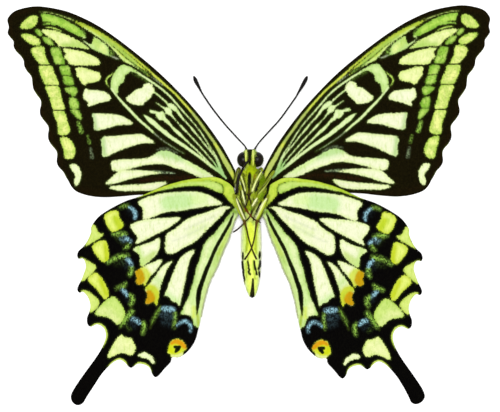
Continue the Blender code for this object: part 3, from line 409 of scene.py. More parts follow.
HIND_DARK = [
    [(15.3, -28.85, 0.32), (14.3, -28.85, 0.32), (14.7, -29.2, 0.5), (15.1, -29.8, 0.3)],
    [(3.1, -1.1, 0.1), (3.6, -2.4, 0.27), (4.1, -3.6, 0.33), (4.95, -5.1, 0.35), (5.85, -6.7, 0.36),
     (6.8, -8.4, 0.38), (7.6, -10.2, 0.36), (8.2, -11.7, 0.4), (8.8, -13.0, 0.44), (9.5, -15.0, 0.46),
     (10.1, -16.6, 0.5), (10.4, -18.0, 0.52), (10.5, -19.2, 0.46), (10.6, -20.4, 0.34), (10.68, -21.5, 0.2),
     (10.75, -22.4, 0.06)],
]

# Painted shadow: black scales on the right hindwing's root where the gap beside the breast lies in shade, open
# on the right side only
ROOT_GAP_SHADOW = [(3.6, 5.6, 0.2), (3.35, 4.5, 0.42), (3.1, 3.1, 0.42), (2.9, 1.9, 0.3), (2.8, 1.2, 0.08)]

# How ragged a stroke's edge is beside a patch's, and how a tint and the dust fade
STROKE_RAG = 0.45
TINT_POWER = 1.5
DUST_POWER = 2.5
# On the upper face the black is wider and the dust thinner
UPPER_SHIFT = 0.18
UPPER_DUST = 0.75

# Dusted scales over the black: the colour of each kind; then kind, strength, softness in mm and a stroke of
# x, y and half width
DUSTS = {"green_dust": (150, 198, 78), "grey_dust": (172, 198, 146), "blue_dust": (150, 200, 214),
         "brown_dust": (46, 26, 10)}
FORE_DUST = [
    ("green_dust", 0.92, 0.45, [(35.2, 17.2, 0.2), (34.6, 15.3, 0.3)]),
    ("green_dust", 0.66, 0.4, [(33.3, 14.4, 0.15), (32.9, 13.0, 0.25)]),
    ("grey_dust", 0.7, 0.45, [(32.7, 11.8, 0.1), (32.4, 10.0, 0.2)]),
    ("green_dust", 0.8, 0.9, [(28.8, 32.0, 0.1), (28.3, 31.4, 0.1)]),
    ("green_dust", 0.8, 0.6, [(34.4, 36.2, 0.1), (34.0, 35.4, 0.1)]),
    ("green_dust", 0.5, 0.8, [(23.9, 27.4, 0.02), (22.2, 26.5, 0.02), (21.0, 25.6, 0.02)]),
    ("grey_dust", 0.55, 0.5, [(18.9, 11.6, 0.02), (17.2, 11.8, 0.1), (14.9, 10.9, 0.02)]),
    ("grey_dust", 0.85, 0.35, [(19.8, 7.0, 0.2), (17.6, 6.9, 0.12), (15.4, 6.75, 0.02)]),
    ("green_dust", 0.7, 0.6, [(21.0, 27.2, 0.05), (23.0, 28.7, 0.1), (25.4, 30.6, 0.1), (27.6, 32.5, 0.05)]),
    ("brown_dust", 0.8, 0.9, [(22.5, 5.3, 0.1), (17.0, 5.7, 0.2), (12.0, 5.8, 0.2), (8.5, 5.5, 0.1)]),
    ("brown_dust", 0.5, 0.8, [(44.0, 40.7, 0.1), (48.4, 39.5, 0.2), (49.3, 37.5, 0.2), (48.5, 33.8, 0.2),
                              (46.5, 29.6, 0.2), (44.3, 24.6, 0.2), (42.7, 19.8, 0.2), (41.1, 15.2, 0.2),
                              (39.5, 10.6, 0.2), (37.7, 6.0, 0.2)]),
    ("brown_dust", 0.45, 1.2, [(36.5, 4.4, 0.1), (32.0, 2.9, 0.3), (26.0, 2.5, 0.2), (20.0, 2.6, 0.1)]),
]
HIND_DUST = [
    ("green_dust", 0.8, 0.85, [(26.4, -0.1, 0.03), (25.6, 0.15, 0.09), (24.9, 0.15, 0.09)]),
    ("blue_dust", 1.0, 0.6, [(24.6, -0.1, 0.05), (24.0, -0.5, 0.15), (23.5, -1.1, 0.2), (23.3, -1.8, 0.18),
                             (23.5, -2.4, 0.05)]),
    ("blue_dust", 0.17, 1.1, [(24.9, -0.5, 0.1), (24.3, -1.4, 0.2)]),
    ("green_dust", 0.9, 0.9, [(27.9, -5.6, 0.03), (27.0, -5.6, 0.15), (26.2, -5.6, 0.21),
                              (25.5, -5.7, 0.12)]),
    ("blue_dust", 0.6, 0.7, [(26.4, -6.5, 0.1), (25.9, -7.0, 0.1)]),
    ("blue_dust", 1.0, 0.6, [(25.6, -6.2, 0.1), (25.0, -6.7, 0.22), (24.4, -7.1, 0.15)]),
    ("green_dust", 0.85, 0.85, [(24.7, -7.6, 0.09), (25.0, -8.1, 0.12), (25.5, -8.5, 0.06)]),
    ("green_dust", 0.9, 0.95, [(29.0, -11.4, 0.02), (27.9, -10.8, 0.06), (26.8, -10.3, 0.15),
                               (25.8, -10.2, 0.21), (25.1, -10.1, 0.12)]),
    ("blue_dust", 1.0, 0.6, [(25.1, -10.7, 0.15), (24.55, -11.3, 0.25), (24.2, -12.0, 0.1)]),
    ("blue_dust", 0.17, 1.2, [(26.2, -11.2, 0.2), (25.2, -12.4, 0.2)]),
    ("green_dust", 0.95, 0.85, [(24.2, -12.5, 0.12), (24.2, -13.2, 0.15), (24.6, -14.0, 0.06)]),
    ("green_dust", 0.9, 0.85, [(27.3, -16.8, 0.03), (26.6, -16.5, 0.12), (25.9, -16.3, 0.24),
                               (25.5, -15.8, 0.06)]),
    ("blue_dust", 1.0, 0.6, [(26.1, -17.1, 0.1), (25.5, -17.6, 0.2), (25.1, -18.2, 0.1)]),
    ("green_dust", 0.95, 0.85, [(24.6, -18.2, 0.09), (24.05, -18.6, 0.15), (24.0, -19.3, 0.15),
                                (24.35, -20.0, 0.06)]),
    ("blue_dust", 0.19, 1.0, [(25.4, -18.6, 0.1), (24.9, -19.3, 0.1)]),
    ("green_dust", 0.95, 0.95, [(26.2, -24.3, 0.02), (25.4, -23.2, 0.12), (24.6, -22.2, 0.18),
                                (24.1, -21.6, 0.09)]),
    ("blue_dust", 1.0, 0.65, [(24.1, -23.1, 0.15), (23.3, -23.3, 0.25), (22.6, -23.9, 0.15)]),
    ("blue_dust", 0.22, 1.0, [(24.6, -24.0, 0.2), (23.6, -24.6, 0.2)]),
    ("green_dust", 0.95, 0.85, [(21.9, -23.8, 0.09), (21.6, -24.4, 0.12), (21.7, -25.4, 0.06),
                                (21.9, -26.0, 0.02)]),
    ("blue_dust", 0.95, 0.65, [(17.8, -20.9, 0.1), (17.2, -21.0, 0.35), (16.4, -21.1, 0.4),
                               (15.6, -21.1, 0.2)]),
    ("blue_dust", 0.36, 1.3, [(17.8, -22.2, 0.2), (16.8, -22.6, 0.4), (15.8, -22.6, 0.2)]),
    ("blue_dust", 0.26, 1.2, [(17.6, -23.8, 0.2), (16.4, -24.2, 0.2)]),
    ("green_dust", 0.7, 0.85, [(18.4, -21.1, 0.03), (19.2, -22.3, 0.05), (19.9, -23.6, 0.02)]),
    ("green_dust", 0.85, 0.8, [(15.3, -21.8, 0.06), (15.2, -23.2, 0.07), (15.5, -24.8, 0.02)]),
    ("blue_dust", 1.0, 0.6, [(14.8, -24.4, 0.02), (14.1, -23.8, 0.08), (13.2, -23.5, 0.14),
                             (12.4, -23.9, 0.14), (12.0, -24.8, 0.1), (12.1, -25.6, 0.02)]),
    ("green_dust", 0.32, 1.1, [(27.0, -6.4, 0.1), (26.2, -7.2, 0.1)]),
    ("green_dust", 0.28, 1.2, [(27.4, -11.7, 0.1), (26.0, -11.5, 0.2)]),
    ("green_dust", 0.4, 0.9, [(25.2, -24.4, 0.1), (24.6, -25.2, 0.1)]),
]

# Soft tints over the pale scales: colour, strength, softness in mm, then a stroke
FORE_TINTS = [
    ((240, 248, 150), 0.8, 1.0, [(43.6, 31.4, 0.3), (43.0, 30.0, 0.3)]),
    ((190, 222, 150), 0.9, 0.9, [(30.2, 13.9, 0.15), (29.8, 10.6, 0.15)]),
    ((196, 222, 160), 0.9, 0.8, [(32.1, 18.9, 0.1), (31.5, 15.9, 0.1)]),
    ((196, 226, 110), 0.8, 1.0, [(31.8, 34.0, 0.3), (31.2, 33.0, 0.3)]),
    ((150, 190, 100), 0.8, 0.6, [(28.8, 32.2, 0.1), (28.7, 31.0, 0.1)]),
    ((204, 230, 110), 0.7, 0.8, [(43.8, 38.8, 0.2), (46.2, 36.9, 0.2)]),
    ((220, 244, 150), 0.9, 0.3, [(34.0, 36.7, 0.05), (32.0, 35.5, 0.08), (30.0, 34.15, 0.1),
                                 (28.0, 32.35, 0.12), (26.4, 30.6, 0.15), (25.2, 29.75, 0.2),
                                 (23.6, 28.9, 0.15), (22.4, 28.2, 0.05)]),
    ((172, 206, 96), 0.8, 0.5, [(30.5, 34.9, 0.05), (28.0, 33.2, 0.15), (25.6, 31.2, 0.2),
                                (23.4, 29.4, 0.15)]),
    ((196, 224, 116), 0.7, 0.9, [(36.4, 33.8, 0.3), (35.0, 33.4, 0.3)]),
    ((236, 248, 150), 0.8, 0.9, [(30.4, 32.9, 0.2), (29.8, 32.0, 0.2)]),
    ((170, 186, 104), 0.85, 0.8, [(11.5, 19.0, 0.2), (9.3, 16.0, 0.2), (7.35, 13.3, 0.2)]),
    ((192, 208, 116), 0.8, 0.8, [(6.2, 11.4, 0.3), (5.15, 9.5, 0.3), (4.1, 7.7, 0.3)]),
    ((188, 222, 110), 0.8, 0.9, [(38.4, 33.2, 0.1), (33.5, 32.8, 0.1)]),
    ((188, 227, 146), 0.85, 1.4, [(19.0, 11.2, 0.2), (16.6, 11.0, 0.7), (14.0, 10.0, 0.4)]),
    ((222, 248, 164), 0.8, 1.2, [(12.5, 9.0, 0.3), (9.0, 7.0, 0.4)]),
    ((150, 210, 120), 0.7, 1.2, [(7.0, 8.6, 0.3), (5.2, 6.3, 0.5)]),
]
HIND_TINTS = [
    ((200, 238, 158), 0.85, 1.6, [(16.6, 0.8, 1.0), (13.2, 1.2, 1.1), (12.0, 1.2, 0.6)]),
    ((228, 251, 172), 0.8, 1.2, [(11.0, 1.5, 0.6), (9.6, 1.6, 0.8)]),
    ((230, 246, 178), 0.6, 1.2, [(12.0, -5.4, 0.3), (9.0, -4.0, 0.3)]),
    ((206, 229, 132), 0.85, 0.9, [(22.2, -11.4, 0.4), (20.6, -10.6, 0.5), (19.5, -9.4, 0.1)]),
    ((206, 236, 140), 0.8, 1.0, [(22.9, -8.6, 0.3), (22.0, -11.6, 0.3)]),
    ((216, 228, 60), 0.9, 0.9, [(22.5, -12.7, 0.3), (21.5, -13.5, 0.7), (21.2, -14.6, 0.8),
                                (21.8, -15.9, 0.5)]),
    ((206, 160, 4), 1.0, 0.4, [(22.7, -13.6, 0.75), (22.5, -14.8, 0.95), (22.9, -15.6, 0.5)]),
    ((206, 218, 24), 0.95, 1.0, [(20.9, -16.6, 0.4), (19.8, -17.0, 0.7), (19.4, -18.2, 0.8),
                                 (19.3, -19.6, 0.6)]),
    ((208, 156, 4), 1.0, 0.4, [(20.6, -17.9, 0.65), (20.3, -18.8, 0.85), (20.9, -19.4, 0.6)]),
    ((230, 160, 12), 1.0, 0.35, [(16.1, -28.2, 0.15), (15.2, -27.7, 0.35), (14.1, -28.0, 0.4),
                                 (13.2, -28.8, 0.35)]),
    ((214, 224, 10), 0.95, 0.4, [(16.4, -28.5, 0.1), (16.3, -29.4, 0.35), (15.8, -30.1, 0.1)]),
    ((240, 248, 170), 0.9, 0.4, [(15.8, -30.8, 0.2), (14.8, -30.9, 0.3), (13.8, -30.5, 0.3)]),
    ((170, 190, 30), 0.85, 0.4, [(10.9, -20.6, 0.08), (10.6, -22.4, 0.15), (10.4, -24.2, 0.15)]),
    ((226, 238, 90), 0.8, 0.5, [(11.5, -20.6, 0.1), (11.4, -22.6, 0.15)]),
    ((250, 254, 200), 0.8, 0.8, [(12.6, -19.6, 0.2), (12.6, -21.8, 0.4)]),
    ((244, 252, 196), 0.7, 0.7, [(7.4, -6.6, 0.1), (8.6, -8.4, 0.2), (9.3, -11.0, 0.2), (10.2, -13.4, 0.2)]),
    ((196, 220, 90), 0.8, 0.5, [(4.0, -4.4, 0.1), (5.2, -7.2, 0.2), (6.3, -9.6, 0.3)]),
    ((178, 210, 90), 0.6, 1.1, [(6.6, -10.2, 0.1), (7.2, -11.8, 0.1)]),
    ((216, 236, 156), 0.85, 0.6, [(7.6, -13.2, 0.2), (8.6, -15.6, 0.3), (9.4, -18.6, 0.3),
                                  (9.9, -20.4, 0.2)]),
    ((110, 140, 30), 0.85, 0.12, [(6.85, 5.0, 0.06), (6.1, 4.8, 0.08), (5.6, 4.4, 0.1), (5.35, 3.8, 0.1),
                                  (5.3, 2.9, 0.1)]),
    ((150, 190, 60), 0.6, 0.6, [(4.6, -2.6, 0.1), (3.6, -1.0, 0.2)]),
    ((134, 172, 40), 0.9, 0.5, [(3.2, -0.8, 0.1), (2.7, -1.2, 0.2)]),
    ((130, 190, 150), 0.7, 0.5, [(24.4, -12.1, 0.2), (24.0, -12.5, 0.1)]),
    ((206, 236, 150), 0.7, 1.4, [(19.4, -14.6, 0.2), (18.2, -15.8, 0.3)]),
    ((208, 240, 160), 0.7, 1.2, [(16.9, -18.0, 0.2), (14.6, -19.6, 0.2)]),
    ((240, 248, 170), 0.8, 1.3, [(27.4, -23.4, 0.2), (28.8, -21.8, 0.3), (30.6, -21.6, 0.1)]),
    ((244, 250, 180), 0.7, 1.2, [(26.8, -28.2, 0.3), (26.2, -29.6, 0.3)]),
    ((196, 216, 24), 0.9, 0.9, [(27.5, -2.4, 0.3), (26.9, -3.5, 0.4), (26.4, -4.4, 0.3)]),
    ((200, 216, 20), 0.9, 0.9, [(29.7, -7.8, 0.1), (29.4, -9.4, 0.2), (29.3, -10.8, 0.2)]),
    ((204, 218, 20), 0.9, 0.9, [(30.7, -15.0, 0.1), (29.9, -16.8, 0.2), (29.4, -18.0, 0.2)]),
    ((206, 214, 190), 0.35, 0.4, [(15.6, -7.0, 0.05), (13.4, -6.2, 0.05), (9.0, -3.9, 0.05)]),
    ((206, 214, 190), 0.35, 0.4, [(13.2, -4.6, 0.05), (10.4, -3.4, 0.05), (7.0, -1.9, 0.05)]),
]

# One skin through head, thorax and abdomen: y, centre x, half width, lowest z, highest z
SKIN = [
    (11.6, 0.22, 0.6, 3.0, 4.4), (11.2, 0.22, 1.15, 2.4, 5.0), (10.5, 0.22, 1.55, 2.0, 5.4),
    (9.6, 0.22, 1.6, 1.9, 5.5), (8.6, 0.22, 1.35, 2.2, 5.3), (7.9, 0.24, 1.1, 2.3, 5.1),
    (7.5, 0.25, 1.5, 1.8, 5.5), (7.1, 0.28, 2.1, 1.1, 6.1), (6.2, 0.32, 2.8, 0.2, 6.8),
    (4.5, 0.35, 3.2, 0.0, 7.0), (2.5, 0.35, 3.3, 0.0, 7.0), (0.5, 0.35, 3.1, 0.0, 6.8),
    (-1.2, 0.36, 2.6, 0.1, 6.5), (-2.3, 0.38, 2.1, 0.9, 6.1), (-3.1, 0.4, 1.75, 1.4, 5.6),
    (-4.6, 0.4, 1.98, 1.0, 5.6), (-7.0, 0.4, 2.1, 0.8, 5.5), (-10.0, 0.42, 2.1, 0.8, 5.4),
    (-13.0, 0.45, 1.95, 0.9, 5.2), (-15.5, 0.5, 1.6, 1.1, 4.9), (-17.4, 0.57, 1.05, 1.5, 4.4),
    (-18.4, 0.6, 0.62, 1.9, 3.9), (-18.85, 0.62, 0.12, 2.6, 3.2),
]
# How square its section is, the step between its rings and the points of each
SKIN_POWER = 2.3
SKIN_STEP = 0.14
SKIN_SIDES = 112
# Largest half width, smallest one under the coat, and the breast's midline
WIDEST = 3.4
THINNEST = 0.05
BREAST_X = 0.35

# Depth of the coat over the skin: y and depth
COAT_DEPTH = [(11.6, 0.12), (8.0, 0.2), (6.0, 0.32), (0.0, 0.32), (-2.6, 0.2), (-4.0, 0.1), (-18.85, 0.05)]
# Grooves of the abdomen, their depth as a share of the width, and their half width
ABDOMEN_SEGMENTS = (-3.1, -4.9, -6.9, -9.0, -11.1, -13.1, -15.0, -16.6, -17.8)
GROOVE_DEPTH = 0.05
GROOVE_WIDTH = 0.14

# Bulges of the breast where the legs grow: x, y, radius, height; and how much of a radius its bell takes
BULGES = [
    (-0.7, 5.6, 1.1, 0.25), (1.3, 5.6, 1.1, 0.25), (-1.4, 2.2, 1.4, 0.3), (1.9, 1.6, 1.4, 0.3),
    (-0.6, -0.9, 1.1, 0.25), (1.4, -0.9, 1.1, 0.25),
]
BULGE_BELL = 1.6

# The coat: name, tufts, lowest and highest y, length, half width, lift, lean outwards and seed
COATS = [
    ("coat_head", 5000, 7.9, 11.5, 0.42, 0.026, 0.5, 0.0, 11),
    ("coat_thorax", 18000, -3.0, 7.7, 0.6, 0.028, 0.26, 0.12, 21),
    ("coat_abdomen", 14000, -18.6, -3.0, 0.34, 0.03, 0.14, 0.0, 31),
]
# A tuft: two rings of three points and a tip, and their places on the UV map; how its lie varies, how deep it
# is rooted, and the height that no tuft passes
TUFT_FACES = [(0, 1, 4), (0, 4, 3), (1, 2, 5), (1, 5, 4), (2, 0, 3), (2, 3, 5), (3, 4, 6), (4, 5, 6),
              (5, 3, 6), (2, 1, 0)]
TUFT_UV = [(-1, -1), (1, -1), (0, -1), (-1, 0.3), (1, 0.3), (0, 0.3), (0, 1)]
TUFT_UV_SIZE = 0.0015
TUFT_SPREAD = 0.22
TUFT_ROOT = 0.03
HAIR_TOP = 8.45
# Hair along the hindwing's inner margin: step between two hairs, how far in they grow, their lie, how far
# their tips sink, the two colours and the share of the first
MARGIN_STEP = 0.012
MARGIN_INSET = (0.12, 0.0)
MARGIN_LIE = (-0.55, -1.0)
MARGIN_FALL = 0.15
MARGIN_PALE = (236, 246, 190)
MARGIN_GREEN = (206, 226, 120)
PALE_SHARE = 0.75
# Hairs of a palp, spines of a leg, and the length and half width of a leg's two claws
PALP_HAIRS = 500
LEG_SPINES = 150
CLAW = (0.35, 0.05)
# What the draws of each kind of hair start from, with the side or the number of the leg added
MARGIN_SEEDS = (70, 75)
PALP_SEEDS = (50, 60)
SPINE_SEEDS = (80, 90)

BLACK = (7, 6, 4)
# A wing's black scales and the lighter ones among them
FORE_BLACK = ((17, 14, 3), (34, 29, 8))
HIND_BLACK = ((5, 4, 4), (14, 13, 9))
# Black scales close to the pale ones; the cast of some pale scales; what streaks and blotches multiply by
HALO = (44, 54, 14)
SCALE_CAST = (150, 186, 80)
STREAK = (196, 224, 110)
BLOTCH = (202, 226, 176)
# Tufts shade each other, so the body's colours are given with less of the gain; a leg's scales lie flat
BODY_GAIN = 0.98
LEG_GAIN = 1.17
LEG_OLIVE = (150, 164, 36)
FOOT_BROWN = (44, 27, 8)
SPINE_BROWN = (40, 30, 16)
DARK_OLIVE = (88, 96, 16)
BROWN = (64, 42, 12)
BODY_GREEN = (206, 230, 110)
# The back, and how far below the middle the belly's colours fade to it
BODY_BACK = (30, 25, 17)
BACK_FADE = 1.2

# Strokes on the belly side of head and abdomen: colour, softness in mm, then x, y and half width
BODY_STROKES = [
    ((168, 188, 38), 0.8, [(0.35, 6.6, 3.2), (0.35, -2.0, 3.0)]),
    # the abdomen's pale ground and the pale stripes along its sides are its own colours, painted paler than
    # they are as painted light against the shade on its steep sides
    ((222, 240, 138), 0.5, [(0.4, -3.4, 2.2), (0.4, -10.0, 2.4), (0.5, -15.0, 2.0), (0.6, -18.6, 1.2)]),
    ((246, 255, 214), 0.5, [(-1.7, -4.2, 0.15), (-1.75, -9.0, 0.2), (-1.6, -13.0, 0.15),
                            (-1.05, -16.4, 0.2)]),
    ((246, 255, 214), 0.5, [(2.4, -4.2, 0.15), (2.5, -9.0, 0.2), (2.45, -13.0, 0.15), (2.15, -16.4, 0.2)]),
    ((222, 236, 72), 0.8, [(0.3, -3.0, 0.05), (0.35, -4.6, 0.35), (0.4, -6.5, 0.5), (0.4, -9.5, 0.4)]),
    ((228, 242, 112), 0.8, [(0.4, -11.0, 0.7), (0.5, -14.0, 0.8), (0.6, -17.0, 0.5)]),
    ((168, 190, 40), 0.25, [(-0.9, -3.6, 0.1), (-0.5, -5.4, 0.15), (-0.4, -7.6, 0.15), (-0.7, -9.4, 0.05)]),
    ((186, 206, 60), 0.25, [(1.7, -3.8, 0.1), (1.35, -6.0, 0.15), (1.3, -8.4, 0.15), (1.5, -9.6, 0.05)]),
    ((190, 210, 70), 0.2, [(-0.1, -10.2, 0.05), (-0.6, -12.4, 0.1), (-0.5, -14.6, 0.05)]),
    ((190, 210, 70), 0.2, [(0.8, -11.0, 0.05), (0.9, -13.0, 0.1), (1.2, -14.8, 0.05)]),
    ((180, 206, 90), 0.35, [(0.6, -3.2, 0.05), (0.95, -3.5, 0.12)]),
    (BLACK, 0.15, [(-1.15, 11.3, 0.15), (-1.1, 8.6, 0.15)]),
    (BLACK, 0.15, [(1.65, 11.3, 0.3), (1.68, 8.4, 0.25)]),
    (BLACK, 0.12, [(0.1, 11.6, 0.5), (0.1, 10.8, 0.34), (0.1, 9.4, 0.24), (0.1, 8.6, 0.12)]),
    (BLACK, 0.08, [(-1.28, -9.5, 0.12), (-1.28, -10.2, 0.18), (-1.3, -10.8, 0.12)]),
    (BLACK, 0.1, [(-1.4, -11.3, 0.19), (-1.35, -12.4, 0.23), (-1.22, -13.2, 0.21), (-1.15, -13.7, 0.15)]),
    (BLACK, 0.1, [(-1.2, -13.9, 0.17), (-1.08, -14.6, 0.22), (-1.0, -15.2, 0.17)]),
    ((150, 160, 40), 0.1, [(-1.0, -15.3, 0.1), (-0.9, -16.0, 0.06)]),
    (BLACK, 0.1, [(2.15, -9.4, 0.15), (2.12, -10.2, 0.21), (2.1, -10.6, 0.13)]),
    (BLACK, 0.1, [(2.25, -11.2, 0.19), (2.18, -12.0, 0.22), (1.9, -12.8, 0.19)]),
    (BLACK, 0.1, [(2.0, -13.3, 0.13), (2.15, -14.1, 0.21), (2.35, -14.6, 0.17)]),
    (BLACK, 0.08, [(-0.3, -11.2, 0.13), (-0.14, -12.0, 0.17), (-0.08, -12.4, 0.12)]),
    (BLACK, 0.08, [(-0.12, -12.6, 0.19), (0.05, -13.0, 0.17), (-0.12, -13.4, 0.2), (0.2, -13.9, 0.2)]),
    (BLACK, 0.1, [(1.02, -11.2, 0.15), (1.08, -12.0, 0.18), (1.3, -12.9, 0.21), (1.4, -13.2, 0.13)]),
    (BLACK, 0.1, [(1.45, -13.4, 0.15), (1.5, -13.9, 0.2)]),
    ((14, 4, 2), 0.1, [(0.76, -14.85, 0.14), (0.72, -16.4, 0.27), (0.65, -17.6, 0.4), (0.6, -18.6, 0.5)]),
]

# Strokes on the breast and on the legs that lie on it, a few black ones painted shadow in the gaps between
# wings, breast and legs
BREAST_STROKES = [
    ((186, 208, 14), 0.4, [(-0.4, 7.5, 0.7), (0.9, 7.3, 0.7)]),
    ((222, 240, 90), 0.15, [(-0.2, 8.6, 0.1), (-0.8, 7.3, 0.14)]),
    ((92, 104, 14), 0.2, [(2.3, 7.6, 0.25), (1.9, 7.1, 0.2), (1.5, 6.7, 0.15)]),
    (DARK_OLIVE, 0.12, [(-1.15, 6.5, 0.06), (-0.95, 5.4, 0.1), (-0.65, 4.2, 0.1)]),
    ((168, 188, 50), 0.1, [(-0.6, 5.8, 0.06), (-0.45, 4.6, 0.08), (-0.35, 3.8, 0.04)]),
    (DARK_OLIVE, 0.12, [(1.1, 6.1, 0.1), (0.9, 5.2, 0.12), (0.55, 3.8, 0.1)]),
    ((146, 126, 20), 0.15, [(1.15, 6.25, 0.12), (1.05, 5.8, 0.1)]),
    ((180, 190, 84), 0.1, [(0.66, 5.8, 0.05), (0.5, 5.0, 0.08), (0.32, 4.0, 0.06)]),
    (BLACK, 0.1, [(0.1, 6.75, 0.14), (0.1, 6.4, 0.3), (0.08, 5.4, 0.33), (0.02, 4.4, 0.27),
                  (-0.05, 3.4, 0.16)]),
    (BROWN, 0.12, [(-0.06, 3.2, 0.16), (-0.1, 2.0, 0.16), (-0.05, 1.0, 0.08)]),
    ((132, 166, 4), 0.25, [(2.55, 6.2, 0.3), (2.5, 5.4, 0.4), (2.35, 4.7, 0.25)]),
    ((140, 178, 20), 0.25, [(2.6, 2.6, 0.2), (2.2, 1.7, 0.25)]),
    (BLACK, 0.1, [(1.98, 5.3, 0.1), (1.8, 4.7, 0.2), (1.52, 4.0, 0.25), (1.3, 3.2, 0.22), (1.12, 2.8, 0.06)]),
    ((36, 42, 8), 0.12, [(2.75, 6.9, 0.12), (3.05, 6.2, 0.14), (3.35, 5.6, 0.12)]),
    (BLACK, 0.1, [(-1.75, 5.0, 0.06), (-1.42, 4.3, 0.12), (-1.08, 3.4, 0.16), (-0.8, 2.6, 0.14),
                  (-0.68, 1.8, 0.12), (-0.62, 1.1, 0.08)]),
    ((226, 236, 144), 0.08, [(-1.66, 6.0, 0.08), (-1.36, 5.2, 0.1), (-1.0, 4.2, 0.12), (-0.76, 3.15, 0.13)]),
    ((232, 242, 150), 0.08, [(2.46, 6.9, 0.06), (2.0, 6.2, 0.12), (1.47, 5.2, 0.15), (0.98, 4.1, 0.18),
                             (0.64, 3.1, 0.2)]),
    ((72, 74, 18), 0.2, [(-2.1, 7.7, 0.3), (-2.4, 6.6, 0.35), (-2.6, 5.2, 0.45), (-2.6, 4.0, 0.45),
                         (-2.5, 2.8, 0.3)]),
    ((146, 160, 64), 0.08, [(-2.2, 7.4, 0.04), (-2.5, 6.2, 0.07), (-2.8, 5.2, 0.08), (-2.95, 4.8, 0.04)]),
    ((120, 126, 84), 0.1, [(-2.75, 4.4, 0.07), (-2.7, 3.5, 0.07)]),
    ((42, 26, 10), 0.15, [(-2.3, 3.6, 0.15), (-2.4, 2.8, 0.22)]),
    ((186, 200, 140), 0.06, [(-1.92, 5.0, 0.06), (-1.8, 4.4, 0.1)]),
    # painted shadow: the shade on breast and legs between the left wing and the leg
    ((16, 18, 6), 0.15, [(-3.5, 4.6, 0.15), (-3.2, 3.7, 0.25), (-2.95, 3.0, 0.2), (-2.8, 2.4, 0.06)]),
    ((70, 74, 14), 0.12, [(-1.75, 3.0, 0.12), (-1.6, 1.6, 0.14), (-1.3, 0.2, 0.18), (-0.95, -0.4, 0.12)]),
    ((238, 246, 172), 0.08, [(-1.42, 3.15, 0.06), (-1.2, 2.1, 0.16), (-0.95, 1.3, 0.16), (-0.82, 0.4, 0.1)]),
    ((204, 222, 96), 0.12, [(-2.3, 2.2, 0.14), (-2.1, 1.5, 0.2), (-1.85, 0.8, 0.06)]),
    (BLACK, 0.1, [(-2.65, 1.9, 0.05), (-2.2, 1.0, 0.1), (-1.78, 0.0, 0.14), (-1.38, -0.9, 0.2),
                  (-1.05, -1.7, 0.2), (-0.75, -2.45, 0.12)]),
    ((166, 190, 46), 0.15, [(-3.05, 1.2, 0.15), (-2.55, -0.4, 0.15), (-1.95, -1.8, 0.15),
                            (-1.4, -2.8, 0.12)]),
    ((112, 118, 20), 0.08, [(-2.82, 1.4, 0.05), (-2.3, -0.1, 0.07), (-1.7, -1.6, 0.08), (-1.15, -2.7, 0.1)]),
    ((250, 255, 186), 0.08, [(-2.58, 1.4, 0.06), (-2.2, 0.4, 0.11), (-1.82, -0.5, 0.14), (-1.38, -1.57, 0.16),
                             (-0.84, -2.6, 0.15)]),
    ((150, 168, 14), 0.3, [(0.0, 1.0, 0.3), (0.1, -0.4, 0.4)]),
    ((132, 182, 24), 0.2, [(0.4, -0.4, 0.15), (0.4, -1.0, 0.1)]),
    ((126, 100, 14), 0.2, [(-0.75, -0.5, 0.15), (-0.4, -1.0, 0.15)]),
    ((222, 236, 122), 0.15, [(-0.4, -1.9, 0.1), (0.0, -2.5, 0.14), (0.3, -2.9, 0.14)]),
    ((134, 150, 24), 0.2, [(4.8, 7.0, 0.2), (3.9, 5.4, 0.35), (3.0, 4.2, 0.4), (2.25, 3.15, 0.35),
                           (1.6, 2.2, 0.3)]),
    ((178, 196, 92), 0.07, [(4.4, 6.2, 0.04), (3.6, 4.85, 0.08), (2.6, 3.85, 0.08), (1.75, 3.0, 0.05)]),
    ((80, 88, 14), 0.08, [(4.5, 6.1, 0.04), (3.3, 4.4, 0.08), (2.5, 3.55, 0.1), (1.7, 2.6, 0.1)]),
    ((180, 196, 84), 0.07, [(4.65, 5.9, 0.04), (4.05, 4.85, 0.08), (2.95, 3.5, 0.09), (1.9, 2.45, 0.07)]),
    # painted shadow: the shade on breast and legs between the right wing and the leg
    (BLACK, 0.12, [(4.25, 5.0, 0.12), (3.95, 4.0, 0.22), (3.5, 2.7, 0.28), (3.15, 1.8, 0.25),
                   (3.0, 1.4, 0.08)]),
    (DARK_OLIVE, 0.1, [(1.75, 1.1, 0.06), (1.35, 0.4, 0.1), (0.9, -0.6, 0.12), (0.4, -1.8, 0.12)]),
    ((244, 248, 182), 0.08, [(1.6, 1.55, 0.06), (1.3, 1.15, 0.15), (1.0, 0.7, 0.17), (0.65, 0.05, 0.08)]),
    ((190, 204, 112), 0.07, [(1.75, 0.5, 0.05), (1.3, -0.7, 0.09), (0.82, -1.7, 0.08)]),
    # painted shadow: the wedge of shade beside the right hind leg, between its femur and tibia
    (BLACK, 0.1, [(2.45, 0.9, 0.1), (2.2, 0.3, 0.2), (1.8, -0.5, 0.18), (1.4, -1.3, 0.17), (1.0, -2.2, 0.16),
                  (0.8, -2.7, 0.06)]),
    ((188, 208, 62), 0.15, [(3.3, 0.6, 0.3), (2.6, -0.8, 0.4), (1.8, -2.4, 0.4)]),
    ((116, 124, 12), 0.1, [(3.75, 1.4, 0.1), (3.4, 0.0, 0.12), (2.6, -1.5, 0.13), (1.95, -2.7, 0.14)]),
    ((252, 255, 190), 0.08, [(3.5, 1.5, 0.08), (3.05, 0.85, 0.12), (2.5, 0.0, 0.17), (2.0, -0.9, 0.17),
                             (1.5, -1.9, 0.2), (1.25, -2.4, 0.18)]),
    (BLACK, 0.08, [(-0.4, 0.8, 0.08), (-0.65, 0.1, 0.1)]),
    ((60, 66, 10), 0.08, [(0.2, 1.4, 0.06), (0.36, 0.4, 0.08)]),
    ((204, 216, 116), 0.08, [(0.42, 1.9, 0.06), (0.55, 1.4, 0.1)]),
    (BLACK, 0.08, [(0.95, 1.7, 0.06), (0.6, 1.2, 0.08)]),
]

